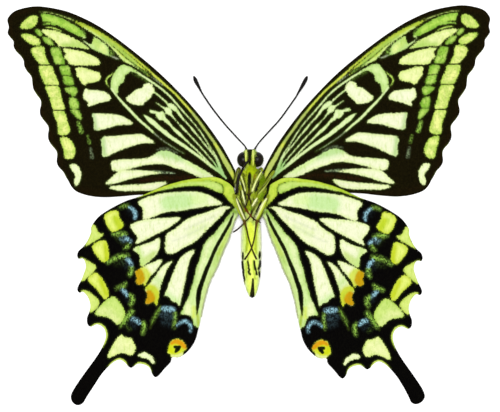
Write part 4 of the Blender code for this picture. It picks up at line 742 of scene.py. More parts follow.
# Strokes on the legs alone, towards the feet
FOOT_STROKES = [
    ((104, 46, 8), 0.2, [(-0.75, -0.7, 0.1), (-0.1, -1.6, 0.2), (0.5, -2.2, 0.1)]),
    ((90, 66, 12), 0.3, [(-1.1, -3.0, 0.15), (-0.75, -4.0, 0.3)]),
    ((62, 50, 10), 0.3, [(-0.6, -4.6, 0.3), (-0.15, -6.4, 0.3), (0.5, -8.6, 0.3), (1.0, -9.7, 0.2)]),
    ((90, 66, 12), 0.3, [(1.7, -3.0, 0.15), (1.4, -4.0, 0.3)]),
    ((62, 50, 10), 0.3, [(1.3, -4.6, 0.3), (1.05, -6.5, 0.3), (0.5, -8.5, 0.3), (-0.2, -9.8, 0.2)]),
]

EYE_RADII = (1.3, 1.55, 1.6)
EYE_X = {-1: -1.2, 1: 1.65}
EYE_YZ = (9.52, 3.8)
# Middles of the palps, half width of their pale stripe, the height below which they are dark, the y where
# they begin and their length; colours of the stripe from its root to its end, and of the rest
PALP_X = (-0.65, 0.79)
PALP_PALE = 0.14
PALP_BACK = 5.6
PALP_Y = 8.4
PALP_LENGTH = 3.0
PALP_TONES = ((212, 226, 78), (232, 244, 138))
PALP_DARK = (66, 74, 14)
# Lengths of the rings of antenna and proboscis, how far each half of the proboscis lies from its middle, and
# the joints of a foot and where the foot begins, as shares of the leg
ANTENNA_RING = 0.36
GALEA_RING = 0.2
GALEA_ASIDE = (0.1, 0.05)
FOOT_JOINT = 0.09
FOOT_FROM = 0.72
LEG_SIDES = 16

# Routes of x, y, z and radius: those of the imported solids, moved by up to half a millimetre to where the
# photo shows them. Antennae, palps and proboscis are finer, and the hind legs are stouter in the middle
ANTENNAE = {
    -1: [(-0.5, 11.3, 3.6, 0.22), (-0.62, 11.7, 3.5, 0.2), (-1.0, 12.4, 3.4, 0.16), (-2.5, 14.0, 3.3, 0.17),
         (-5.2, 17.0, 3.3, 0.18), (-7.7, 20.2, 3.4, 0.19), (-9.55, 22.95, 3.6, 0.19),
         (-10.0, 23.75, 3.6, 0.23), (-10.45, 24.65, 3.8, 0.33), (-10.85, 25.4, 3.85, 0.41),
         (-11.1, 26.0, 3.9, 0.38), (-11.25, 26.35, 4.0, 0.25), (-11.38, 26.65, 4.0, 0.06)],
    1: [(0.95, 11.2, 3.6, 0.22), (1.15, 11.65, 3.5, 0.2), (1.6, 12.4, 3.4, 0.16), (2.35, 13.4, 3.3, 0.17),
        (4.35, 15.6, 3.3, 0.18), (6.45, 17.95, 3.4, 0.19), (9.35, 22.0, 3.6, 0.19), (10.0, 23.1, 3.6, 0.22),
        (10.65, 24.2, 3.8, 0.33), (11.2, 25.2, 3.85, 0.41), (11.6, 25.95, 3.9, 0.38), (11.8, 26.4, 4.0, 0.25),
        (11.88, 26.6, 4.0, 0.06)],
}
PALPS = {
    -1: [(-0.66, 9.1, 5.6, 0.12), (-0.66, 9.5, 5.8, 0.2), (-0.66, 10.5, 5.85, 0.22), (-0.64, 11.2, 5.5, 0.18),
         (-0.62, 11.55, 5.2, 0.08)],
    1: [(0.78, 8.2, 5.5, 0.12), (0.8, 8.7, 5.8, 0.18), (0.8, 9.6, 5.9, 0.2), (0.78, 10.6, 5.9, 0.2),
        (0.76, 11.2, 5.55, 0.17), (0.76, 11.5, 5.25, 0.08)],
}
PROBOSCIS = [
    (0.03, 9.9, 5.7, 0.12), (0.03, 9.4, 6.15, 0.16), (-0.5, 8.8, 6.9, 0.17), (-1.15, 7.85, 7.6, 0.17),
    (-1.65, 6.8, 7.9, 0.17), (-2.05, 5.9, 8.0, 0.17), (-2.35, 4.4, 7.95, 0.16), (-2.55, 2.7, 7.85, 0.1),
]
LEGS = {
    "leg_fore_left": [
        (-0.7, 6.2, 6.5, 0.3), (-0.9, 6.65, 7.0, 0.3), (-1.25, 7.0, 7.0, 0.24), (-1.6, 6.6, 6.95, 0.24),
        (-1.5, 5.6, 7.3, 0.24), (-0.82, 3.1, 7.6, 0.2), (-0.35, 2.3, 7.55, 0.14), (0.05, 1.6, 7.5, 0.13),
        (0.35, 0.5, 7.5, 0.1)],
    "leg_fore_right": [
        (1.3, 6.2, 6.5, 0.3), (1.6, 6.75, 6.95, 0.3), (2.2, 7.5, 6.7, 0.25), (2.55, 7.6, 6.6, 0.24),
        (2.6, 7.1, 6.7, 0.24), (2.05, 6.1, 7.2, 0.24), (1.5, 5.1, 7.6, 0.24), (0.62, 3.05, 8.1, 0.22),
        (0.1, 2.2, 8.2, 0.14), (-0.25, 1.4, 8.1, 0.13), (-0.6, 0.2, 8.0, 0.1)],
    "leg_mid_left": [
        (-1.75, 2.4, 6.5, 0.34), (-2.15, 3.0, 6.8, 0.32), (-2.8, 4.4, 6.1, 0.32), (-2.75, 5.8, 5.7, 0.3),
        (-2.45, 7.1, 5.7, 0.28), (-2.15, 7.65, 5.8, 0.26), (-1.93, 7.4, 6.1, 0.25), (-1.95, 6.2, 6.4, 0.25),
        (-1.85, 4.7, 6.85, 0.25), (-1.55, 3.3, 7.3, 0.24), (-1.25, 2.0, 7.7, 0.22), (-1.0, 0.9, 8.05, 0.19),
        (-0.82, -0.3, 8.1, 0.14), (0.2, -1.9, 7.6, 0.14), (1.0, -2.65, 7.9, 0.14), (1.7, -3.1, 8.0, 0.13),
        (2.3, -3.35, 7.7, 0.11)],
    "leg_mid_right": [
        (1.75, 1.5, 6.6, 0.34), (2.15, 2.2, 6.95, 0.34), (3.1, 4.0, 6.6, 0.34), (4.2, 5.9, 6.0, 0.3),
        (4.75, 6.8, 5.9, 0.26), (5.0, 7.0, 6.3, 0.25), (4.75, 6.6, 6.75, 0.26), (3.9, 5.2, 7.0, 0.28),
        (2.8, 3.6, 7.5, 0.28), (1.65, 1.75, 8.05, 0.26), (1.05, 0.7, 8.15, 0.22), (0.72, 0.0, 8.2, 0.18),
        (0.3, -1.8, 8.2, 0.14), (-0.6, -3.0, 8.1, 0.15), (-2.2, -4.6, 7.2, 0.16), (-3.2, -5.3, 6.6, 0.15)],
    "leg_hind_left": [
        (-0.65, -0.9, 6.4, 0.36), (-1.05, -0.3, 7.0, 0.34), (-1.9, 0.75, 7.0, 0.31), (-2.6, 1.8, 6.4, 0.3),
        (-2.95, 2.3, 6.0, 0.27), (-3.1, 2.0, 5.9, 0.28), (-2.74, 1.1, 6.3, 0.37), (-2.32, 0.0, 6.65, 0.43),
        (-1.84, -1.2, 6.9, 0.44), (-1.05, -2.9, 7.05, 0.33), (-0.6, -4.4, 6.6, 0.16),
        (-0.15, -6.4, 6.2, 0.15), (0.5, -8.6, 6.1, 0.14), (1.1, -10.0, 6.0, 0.18), (1.5, -10.85, 5.95, 0.18)],
    "leg_hind_right": [
        (1.35, -0.9, 6.4, 0.36), (1.75, -0.3, 7.0, 0.34), (2.6, 0.75, 6.9, 0.31), (3.3, 1.8, 6.3, 0.3),
        (3.65, 2.2, 5.9, 0.27), (3.8, 1.9, 5.8, 0.3), (3.38, 1.1, 6.3, 0.4), (2.86, 0.0, 6.6, 0.46),
        (2.26, -1.25, 6.8, 0.46), (1.63, -2.75, 6.95, 0.36), (1.35, -4.4, 6.7, 0.16), (1.05, -6.5, 6.5, 0.15),
        (0.5, -8.5, 6.75, 0.14), (-0.2, -9.8, 6.4, 0.17), (-0.9, -10.85, 5.95, 0.19)],
}

# The floor's half width, the surroundings' light and the lamp's power
FLOOR_REACH = 700.0
WORLD_LIGHT = 0.33
LAMP_POWER = 16.5
# The photo: its width in millimetres, the middle of the picture, and the height where the width is measured
PHOTO_WIDTH = 103.09
PHOTO_X = 0.165
PHOTO_Z = 0.4


def linear(colour, gain=LIGHT_GAIN):
    """The share of light that a colour returns, given from 0 to 255 as it looks on a screen in this light."""
    return tuple((c / 255 / 12.92 if c <= 10 else ((c / 255 + 0.055) / 1.055) ** 2.4) / gain for c in colour)


def blend(first, second, share):
    """The first colour with a share of the second."""
    return np.asarray(first) * (1 - share) + np.asarray(second) * share


def unit(vectors):
    """Vectors with their length made one."""
    return vectors / np.maximum(np.linalg.norm(vectors, axis=-1, keepdims=True), 1e-9)


def curve(points, step, closed=False):
    """Points on a smooth curve through the given ones, about one for each step of length."""
    points = np.array(points, float)
    count = len(points)
    pieces = []
    for i in range(count if closed else count - 1):
        if closed:
            p0, p1, p2, p3 = (points[(i + k) % count] for k in (-1, 0, 1, 2))
        else:
            p0, p1, p2, p3 = (points[min(max(i + k, 0), count - 1)] for k in (-1, 0, 1, 2))
        steps = max(1, round(float(np.linalg.norm(p2[:2] - p1[:2])) / step))
        t = np.arange(steps)[:, None] / steps
        pieces.append(0.5 * (2 * p1 + (p2 - p0) * t + (2 * p0 - 5 * p1 + 4 * p2 - p3) * t ** 2
                             + (3 * p1 - p0 - 3 * p2 + p3) * t ** 3))
    if not closed:
        pieces.append(points[-1:])
    return np.concatenate(pieces)


def to_segments(points, starts, ends):
    """Distance from each point to each segment, and how far along it the nearest place is, from 0 to 1."""
    along = ends - starts
    offset = points[:, None, :] - starts[None, :, :]
    share = np.clip((offset * along).sum(2) / np.maximum((along * along).sum(1), 1e-12), 0.0, 1.0)
    return np.linalg.norm(offset - share[:, :, None] * along, axis=2), share


def is_inside(points, outline):
    """Whether each point is inside a closed outline."""
    result = np.zeros(len(points), bool)
    for a, b in zip(outline, np.roll(outline, -1, axis=0)):
        if a[1] == b[1]:
            continue
        crosses = (a[1] > points[:, 1]) != (b[1] > points[:, 1])
        at = (b[0] - a[0]) * (points[:, 1] - a[1]) / (b[1] - a[1]) + a[0]
        result ^= crosses & (points[:, 0] < at)
    return result


def near_to(points, route, reach):
    """Numbers of the points in the box round a route, widened by the reach."""
    low, high = route[:, :2].min(0) - reach, route[:, :2].max(0) + reach
    return np.flatnonzero(np.all((points > low) & (points < high), axis=1))


def outline_depth(points, outline):
    """How deep each point lies inside a closed outline, negative outside and down to minus the reach."""
    depth = np.full(len(points), -REACH)
    near = near_to(points, outline, REACH)
    if len(near):
        distance = to_segments(points[near], outline, np.roll(outline, -1, axis=0))[0].min(1)
        depth[near] = np.where(is_inside(points[near], outline), distance, np.maximum(-distance, -REACH))
    return depth


def stroke_depth(points, route):
    """How deep each point lies inside a stroke with a changing half width."""
    depth = np.full(len(points), -REACH)
    near = near_to(points, route, REACH + route[:, 2].max())
    if len(near):
        distance, share = to_segments(points[near], route[:-1, :2], route[1:, :2])
        width = route[:-1, 2] + (route[1:, 2] - route[:-1, 2]) * share
        depth[near] = np.maximum((width - distance).max(1), -REACH)
    return depth


def covered(points, route, soft, step=STROKE_STEP):
    """How much a stroke with a soft edge covers each point, from 0 to 1."""
    return np.clip(1 + stroke_depth(points, curve(route, step)) / soft, 0.0, 1.0)


def vein_distance(points, veins):
    """Distance from each point to the nearest vein, or a far one where no vein is near."""
    nearest = np.full(len(points), FAR)
    for line in veins:
        near = near_to(points, line, REACH)
        if len(near):
            distance = to_segments(points[near], line[:-1], line[1:])[0].min(1)
            nearest[near] = np.minimum(nearest[near], distance)
    return nearest


def paint(points, patches, strokes, dark, dusts, tints):
    """The markings at each point: how deep in the pale scales, how ragged and mottled, dust and colour."""
    pale = np.full(len(points), -REACH)
    rag = np.ones(len(points))
    mottle = np.zeros(len(points))
    tone = np.tile(linear(TONES["cream"][1]), (len(points), 1))
    marks = [(name, outline_depth(points, curve(outline, PATCH_STEP, closed=True)), 1.0)
             for name, outline in patches]
    marks += [(name, stroke_depth(points, curve(route, STROKE_STEP)), STROKE_RAG) for name, route in strokes]
    for name, depth, ragged in marks:
        core, rim, reach, blotched = TONES[name]
        share = np.clip(depth / reach, 0.0, 1.0)[:, None]
        better = depth > pale
        tone[better] = blend(linear(rim), linear(core), share)[better]
        rag[better] = ragged
        mottle[better] = blotched
        pale = np.maximum(pale, depth)
    for route in dark:
        depth = -stroke_depth(points, curve(route, STROKE_STEP))
        rag[depth < pale] = STROKE_RAG
        pale = np.minimum(pale, depth)
    for colour, strength, soft, route in tints:
        share = strength * covered(points, route, soft)[:, None] ** TINT_POWER
        tone = blend(tone, linear(colour), share)
    dust = {kind: np.zeros(len(points)) for kind in DUSTS}
    for kind, strength, soft, route in dusts:
        dust[kind] = np.maximum(dust[kind], strength * covered(points, route, soft))
    return {"pale": pale, "rag": rag, "mottle": mottle, **dust}, tone


def drooped(wing, points):
    """Height of the solid wing's lower face at points on the unturned wing."""
    if wing is FORE:
        reach = points[:, 0]
    else:
        reach = np.linalg.norm(points - np.array(wing["hinge"]), axis=1)
    share = np.clip((reach - wing["start"]) / (wing["end"] - wing["start"]), 0.0, 1.0)
    return wing["root_z"] * (1 - share ** wing["power"])


def turned(points, wing, side):
    """Points of the unturned wing, turned about the hinge, shifted and set on a side."""
    angle = wing["turn"][side]
    hinge = np.array(wing["hinge"])
    out, up = (points - hinge).T
    across, along = wing["shift"][side]
    # the forewing's root stays at the breast, and its inner half can be lifted a little
    reached = np.clip(out / ROOT_REACH, 0.0, 1.0) if wing is FORE else 1.0
    along = along + wing["lift"][side] * reached * np.clip((LIFT_END - out) / LIFT_FADE, 0.0, 1.0)
    x = hinge[0] + out * math.cos(angle) - up * math.sin(angle) + across * reached
    y = hinge[1] + out * math.sin(angle) + up * math.cos(angle) + along
    # the tip of the shifted wing is a little blunter, so that the span stays the solids'
    blunt = (TIP_END - TIP) / (TIP_END + across - TIP)
    x = np.where(x > TIP, TIP + (x - TIP) * blunt, x)
    # the right tail ends a little higher and further in
    if side > 0:
        below = np.maximum(TAIL_FROM - y, 0.0)
        x = x - TAIL_LEAN * below
        y = y + TAIL_SHORTER * below
    return np.stack([side * x, y], axis=1)


def sheet(outline, pitch):
    """Points and triangles of a flat sheet inside an outline, whose own points come first."""
    low, high = outline.min(0), outline.max(0)
    rows = int((high[1] - low[1]) / (pitch * ROW_SHARE)) + 1
    columns = int((high[0] - low[0]) / pitch) + 1
    row, column = np.divmod(np.arange(rows * columns), columns)
    grid = np.stack([low[0] + (column + 0.5 * (row % 2)) * pitch, low[1] + row * pitch * ROW_SHARE], axis=1)
    grid = grid[is_inside(grid, outline)]
    from_edge = np.full(len(grid), REACH)
    after = np.roll(outline, -1, axis=0)
    for k in range(0, len(outline), EDGE_BLOCK):
        block = outline[k:k + EDGE_BLOCK]
        near = near_to(grid, block, 3 * pitch)
        if len(near):
            distance = to_segments(grid[near], block, after[k:k + EDGE_BLOCK])[0].min(1)
            from_edge[near] = np.minimum(from_edge[near], distance)
    # a grid point right beside the outline would make slivers
    points = np.concatenate([outline, grid[from_edge > 0.5 * pitch]])
    edges = [(k, (k + 1) % len(outline)) for k in range(len(outline))]
    flat, _, faces, _, _, _ = delaunay_2d_cdt([Vector(p) for p in points], edges, [], 0, WELD, False)
    flat = np.array([tuple(p) for p in flat])
    faces = np.array([tuple(face) for face in faces if len(face) == 3])
    return flat, faces[is_inside(flat[faces].mean(1), outline)]


def ring_faces(rings, around):
    """Faces over rings of points, with a lid on each end."""
    faces = []
    for i in range(rings - 1):
        for j in range(around):
            after = (j + 1) % around
            faces.append((i * around + j, i * around + after, (i + 1) * around + after, (i + 1) * around + j))
    first = tuple(range(around))
    last = tuple((rings - 1) * around + j for j in first)
    return faces + [first[::-1], last]


def mesh_object(name, points, faces, finish, smooth=True):
    """A mesh given in millimetres, with one material or a list of them."""
    mesh = bpy.data.meshes.new(name)
    places = [tuple(p) for p in np.asarray(points, float) * MM]
    mesh.from_pydata(places, [], [tuple(int(k) for k in face) for face in faces])
    mesh.update()
    thing = bpy.data.objects.new(name, mesh)
    bpy.context.scene.collection.objects.link(thing)
    for mat in finish if isinstance(finish, (list, tuple)) else [finish]:
        mesh.materials.append(mat)
    if smooth:
        mesh.shade_smooth()
    return thing


def mesh_points(thing):
    """The points of a mesh in millimetres."""
    points = np.empty(3 * len(thing.data.vertices))
    thing.data.vertices.foreach_get("co", points)
    return points.reshape(-1, 3) / MM


def store(thing, name, values, kind="FLOAT"):
    """Values for the material to read, one for each point of the mesh."""
    layer = thing.data.attributes.new(name, kind, "POINT")
    values = np.asarray(values, float)
    if kind == "FLOAT_COLOR":
        values = np.concatenate([values, np.ones((len(values), 1))], axis=1)
        layer.data.foreach_set("color", values.ravel())
    else:
        layer.data.foreach_set("value", values)


def store_uv(thing, uv):
    """A UV map given for each point of the mesh."""
    layer = thing.data.uv_layers.new(name="OFBake")
    corners = np.empty(len(thing.data.loops), int)
    thing.data.loops.foreach_get("vertex_index", corners)
    layer.data.foreach_set("uv", np.asarray(uv, float)[corners].ravel())


def wing_uv(points, corner, span):
    """Places of a wing's points on the left half of the UV map."""
    return (points - corner) / span * UV_SPAN + UV_EDGE


class Shader:
    """Short words for building a material's nodes."""

    def __init__(self, name):
        self.mat = bpy.data.materials.new(name)
        self.mat.use_nodes = True
        self.tree = self.mat.node_tree
        self.skin = self.tree.nodes["Principled BSDF"]

    def put(self, socket, value):
        if isinstance(value, bpy.types.NodeSocket):
            self.tree.links.new(value, socket)
        elif isinstance(value, (tuple, list)) and len(value) == 3 and socket.type == "RGBA":
            socket.default_value = (*value, 1.0)
        else:
            socket.default_value = value

    def node(self, kind, inputs, **settings):
        made = self.tree.nodes.new(kind)
        for key, value in settings.items():
            setattr(made, key, value)
        for key, value in inputs.items():
            self.put(made.inputs[key], value)
        return made

    def attribute(self, name, output="Fac"):
        return self.node("ShaderNodeAttribute", {}, attribute_name=name).outputs[output]

    def math(self, operation, a, b=0.0):
        return self.node("ShaderNodeMath", {0: a, 1: b}, operation=operation).outputs[0]

    def times(self, a, b):
        return self.math("MULTIPLY", a, b)

    def ramp(self, value, low, high, out_low=0.0, out_high=1.0):
        return self.node("ShaderNodeMapRange", {"Value": value, "From Min": low, "From Max": high,
                                                "To Min": out_low, "To Max": out_high},
                         interpolation_type="SMOOTHSTEP").outputs[0]

    def mix(self, share, a, b, blend_type="MIX"):
        made = self.node("ShaderNodeMix", {}, data_type="RGBA", blend_type=blend_type)
        for socket, value in ((0, share), (6, a), (7, b)):
            self.put(made.inputs[socket], value)
        return made.outputs[2]

    def place(self, scale=(1.0, 1.0, 1.0), turn=(0.0, 0.0, 0.0)):
        where = self.node("ShaderNodeTexCoord", {}).outputs["Object"]
        return self.node("ShaderNodeMapping", {"Vector": where, "Scale": scale, "Rotation": turn}).outputs[0]

    def noise(self, size_mm, detail=2.0, place=None):
        settings = {"Vector": place or self.place(), "Scale": 1 / (size_mm * MM), "Detail": detail,
                    "Roughness": 0.6}
        return self.node("ShaderNodeTexNoise", settings).outputs["Fac"]

    def cells(self, size_mm, place=None, output="Color", jitter=1.0):
        settings = {"Vector": place or self.place(), "Scale": 1 / (size_mm * MM), "Randomness": jitter}
        return self.node("ShaderNodeTexVoronoi", settings).outputs[output]

    def grain(self, size_mm, place=None):
        """A different value from 0 to 1 for each scale."""
        return self.node("ShaderNodeSeparateColor", {"Color": self.cells(size_mm, place)}).outputs[0]

    def bump(self, height, distance_mm, strength):
        made = self.node("ShaderNodeBump", {"Height": height, "Distance": distance_mm * MM,
                                            "Strength": strength})
        self.put(self.skin.inputs["Normal"], made.outputs[0])

    def finish(self, colour, roughness, specular):
        self.put(self.skin.inputs["Base Color"], colour)
        self.put(self.skin.inputs["Roughness"], roughness)
        self.put(self.skin.inputs["Specular IOR Level"], specular)
        return self.mat


def scaled_wing(name, shift, dust_share, blacks):
    """A wing's face: rows of tiny scales, pale over black, dusted over the black, ragged where they meet."""
    make = Shader(name)
    grain = make.grain(0.12, make.place(scale=(1.0, 0.55, 1.0)))
    other_grain = make.grain(0.2, make.place(scale=(1.0, 0.7, 1.0), turn=(0.0, 0.0, 0.7)))
    tooth = make.noise(0.34, detail=3.0)
    streak = make.noise(0.7, detail=3.0, place=make.place(scale=(1.6, 0.5, 1.0), turn=(0.0, 0.0, 0.5)))
    mottle = make.attribute("mottle")
    # where the pale scales end: single scales and teeth of a few of them, more or less ragged
    rag = make.math("ADD", make.times(make.math("SUBTRACT", grain, 0.5), 0.2),
                    make.times(make.math("SUBTRACT", tooth, 0.5), 0.5))
    depth = make.math("ADD", make.attribute("pale"), make.times(rag, make.attribute("rag")))
    pale = make.ramp(depth, shift - 0.08, shift + 0.1)
    # the pale scales: a green cast on some, faint streaks, then blotches and dark specks in mottled patches
    tone = make.attribute("tone", "Color")
    tone = make.mix(make.ramp(grain, 0.0, 1.0, out_high=0.14), tone, linear(SCALE_CAST))
    tone = make.mix(make.ramp(streak, 0.48, 0.75, out_high=0.45), tone, linear(STREAK, 1.0), "MULTIPLY")
    blotch = make.times(make.ramp(make.noise(1.2, detail=3.0), 0.42, 0.62), mottle)
    tone = make.mix(blotch, tone, linear(BLOTCH, 1.0), "MULTIPLY")
    speck = make.times(make.ramp(other_grain, 0.72, 0.95), mottle)
    tone = make.mix(make.times(make.math("POWER", speck, 2.0), 0.4), tone, linear(HALO))
    # the black scales, greener close to the pale ones
    dark = make.mix(make.ramp(grain, 0.2, 1.0, out_high=0.6), linear(blacks[0]), linear(blacks[1]))
    halo = make.ramp(depth, shift - 0.42, shift - 0.05)
    dark = make.mix(make.times(halo, 0.7), dark, linear(HALO))
    # the dust: single coloured scales, close together where it is thick
    speckle = make.times(make.ramp(other_grain, 0.0, 1.0, out_low=0.1, out_high=1.6),
                         make.ramp(tooth, 0.34, 0.6, out_low=0.45, out_high=1.15))
    for kind, colour in DUSTS.items():
        weight = make.times(make.attribute(kind), dust_share)
        share = make.math("MINIMUM", make.times(make.math("POWER", weight, DUST_POWER), speckle), 1.0)
        dark = make.mix(share, dark, linear(colour))
    make.bump(make.math("ADD", make.times(grain, 0.6), tooth), distance_mm=0.02, strength=0.6)
    return make.finish(make.mix(pale, dark, tone), 0.78, specular=0.01)


def build_wing(name, wing, side, outline, veins, finishes, node, markings):
    """A thin pleated membrane with raised veins and a material for each face, the under face on top."""
    flat, faces = sheet(outline, PITCH)
    from_vein = vein_distance(flat, [curve(line, VEIN_STEP) for line in veins])
    from_edge = np.abs(outline_depth(flat, outline))
    middle = drooped(wing, flat) + MEMBRANE_LIFT
    middle += PLEAT * np.clip(from_vein / PLEAT_REACH, 0.0, 1.0) * np.clip(from_edge / PLEAT_REACH, 0.0, 1.0)
    half = MEMBRANE / 2 * np.clip(RIM_SHARE + from_edge / RIM_FADE, 0.0, 1.0)
    half += (VEIN_RISE * np.clip(1 - from_vein / VEIN_WIDTH, 0.0, 1.0)
             * np.clip(from_edge / VEIN_FADE, VEIN_SHARE, 1.0))
    place = turned(flat, wing, side)
    top = np.column_stack([place, middle + half])
    bottom = np.column_stack([place, np.maximum(middle - half, LOWEST_WING)])
    count, around = len(flat), len(outline)
    upward = faces[:, ::side]
    rim = []
    for k in range(around):
        a, b = (k, (k + 1) % around)[::-side]
        rim += [(a, b, count + b), (a, count + b, count + a)]
    everything = [tuple(f) for f in upward] + [tuple(f) for f in upward[:, ::-1] + count] + rim
    thing = mesh_object(name, np.concatenate([top, bottom]), everything, finishes)
    which = np.zeros(len(everything), int)
    which[len(upward):2 * len(upward)] = 1
    thing.data.polygons.foreach_set("material_index", which)
    weights, tone = paint(flat, *markings)
    store(thing, "tone", np.tile(tone, (2, 1)), "FLOAT_COLOR")
    for kind, weight in weights.items():
        store(thing, kind, np.tile(weight, 2))
    corner = flat.min(0)
    span = (flat.max(0) - corner).max()
    uv = wing_uv(flat, corner, span)
    store_uv(thing, np.concatenate([uv, uv + np.array([0.5, 0.0])]))
    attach(thing, "root")
    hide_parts(node)
    return corner, span


def margin_hair(name, side, corner, span, fur):
    """Fine pale hair along the inner margin of a hindwing, lying towards the body and the tail."""
    first_seed, second_seed = MARGIN_SEEDS
    draw = np.random.default_rng(first_seed + side)
    edge = curve(HIND_INNER, MARGIN_STEP)
    edge = edge + draw.normal(0.0, 0.05, edge.shape) + np.array(MARGIN_INSET)
    height = drooped(HIND, edge) + MEMBRANE_LIFT
    away = np.array([MARGIN_LIE]) + draw.normal(0.0, 0.25, edge.shape)
    roots = np.column_stack([turned(edge, HIND, side), height])
    ends = np.column_stack([turned(edge + away, HIND, side), height - MARGIN_FALL])
    count = len(edge)
    shade = np.where(draw.uniform(0, 1, (count, 1)) < PALE_SHARE, linear(MARGIN_PALE), linear(MARGIN_GREEN))
    normals = np.tile([0.0, 0.0, 1.0], (count, 1))
    tufts(name, roots, normals, ends - roots, lengths=draw.uniform(0.3, 0.75, count),
          widths=np.full(count, 0.022), colours=shade, uv=wing_uv(edge, corner, span), finish=fur,
          lift=0.05, seed=second_seed + side)


def wings():
    """Both pairs of wings, and the hair along the hindwings' inner margins."""
    faces = {}
    for name, blacks in (("forewing", FORE_BLACK), ("hindwing", HIND_BLACK)):
        faces[name] = (scaled_wing(f"{name}_under", 0.0, 1.0, blacks),
                       scaled_wing(f"{name}_upper", UPPER_SHIFT, UPPER_DUST, blacks))
    fur = hair("wing_hair")
    fore_edge = curve(FORE_COSTA + FORE_MARGIN + FORE_INNER, OUTLINE_STEP)
    hind_edge = curve(HIND_COSTA + HIND_MARGIN + HIND_INNER, OUTLINE_STEP)
    fore_outline = np.concatenate([fore_edge, np.array(FORE_ROOT)])
    hind_outline = np.concatenate([hind_edge, np.array(HIND_ROOT)])
    fore_marks = (FORE_PATCHES, FORE_STROKES, FORE_DARK, FORE_DUST, FORE_TINTS)
    for side, word in SIDES:
        # the right hindwing also takes the painted shadow of the gap beside the breast
        hind_dark = HIND_DARK + [ROOT_GAP_SHADOW] if side > 0 else HIND_DARK
        hind_marks = (HIND_PATCHES, HIND_STROKES, hind_dark, HIND_DUST, HIND_TINTS)
        build_wing(f"scaled_forewing_{word}", FORE, side, fore_outline, FORE_VEINS, faces["forewing"],
                   f"forewing_{word}", fore_marks)
        corner, span = build_wing(f"scaled_hindwing_{word}", HIND, side, hind_outline, HIND_VEINS,
                                  faces["hindwing"], f"hindwing_{word}", hind_marks)
        margin_hair(f"margin_hair_{word}", side, corner, span, fur)


def streaked(colour, points, strokes, gain):
    """A colour for each point with strokes over it."""
    for tint, soft, route in strokes:
        share = covered(points[:, :2], route, soft, BODY_STROKE_STEP)[:, None]
        colour = blend(colour, linear(tint, gain), share)
    return colour


def leg_colour(points, foot):
    """Colour of a leg's scales at each point, painted shadow included, given how much the point belongs to the
    brown foot.
    """
    colour = np.tile(linear(LEG_OLIVE, LEG_GAIN), (len(points), 1))
    colour = streaked(colour, points, BREAST_STROKES, LEG_GAIN)
    colour = blend(colour, linear(FOOT_BROWN, LEG_GAIN), foot)
    return streaked(colour, points, FOOT_STROKES, LEG_GAIN)


def body_colour(points, middle_z):
    """Colour of the body's scales and hair at each point: the belly's markings and some painted shadow, and a
    dark back.
    """
    belly = np.clip((points[:, 2] - middle_z) / BACK_FADE + 1.0, 0.0, 1.0)[:, None]
    colour = np.tile(linear(BODY_GREEN, BODY_GAIN), (len(points), 1))
    colour = streaked(colour, points, BODY_STROKES + BREAST_STROKES, BODY_GAIN)
    return blend(linear(BODY_BACK), colour, belly)


def palp_colour(points):
    """Colour of a palp's scales: pale below, dark along its sides and back."""
    middle = np.where(points[:, 0] < 0, *PALP_X)
    edge = np.clip((np.abs(points[:, 0] - middle) - PALP_PALE) / PALP_PALE, 0.0, 1.0)[:, None]
    edge = np.maximum(edge, np.clip((PALP_BACK - points[:, 2]) / 0.3, 0.0, 1.0)[:, None])
    along = np.clip((points[:, 1] - PALP_Y) / PALP_LENGTH, 0.0, 1.0)[:, None]
    pale = blend(linear(PALP_TONES[0], LEG_GAIN), linear(PALP_TONES[1], LEG_GAIN), along)
    return blend(pale, linear(PALP_DARK, LEG_GAIN), edge)


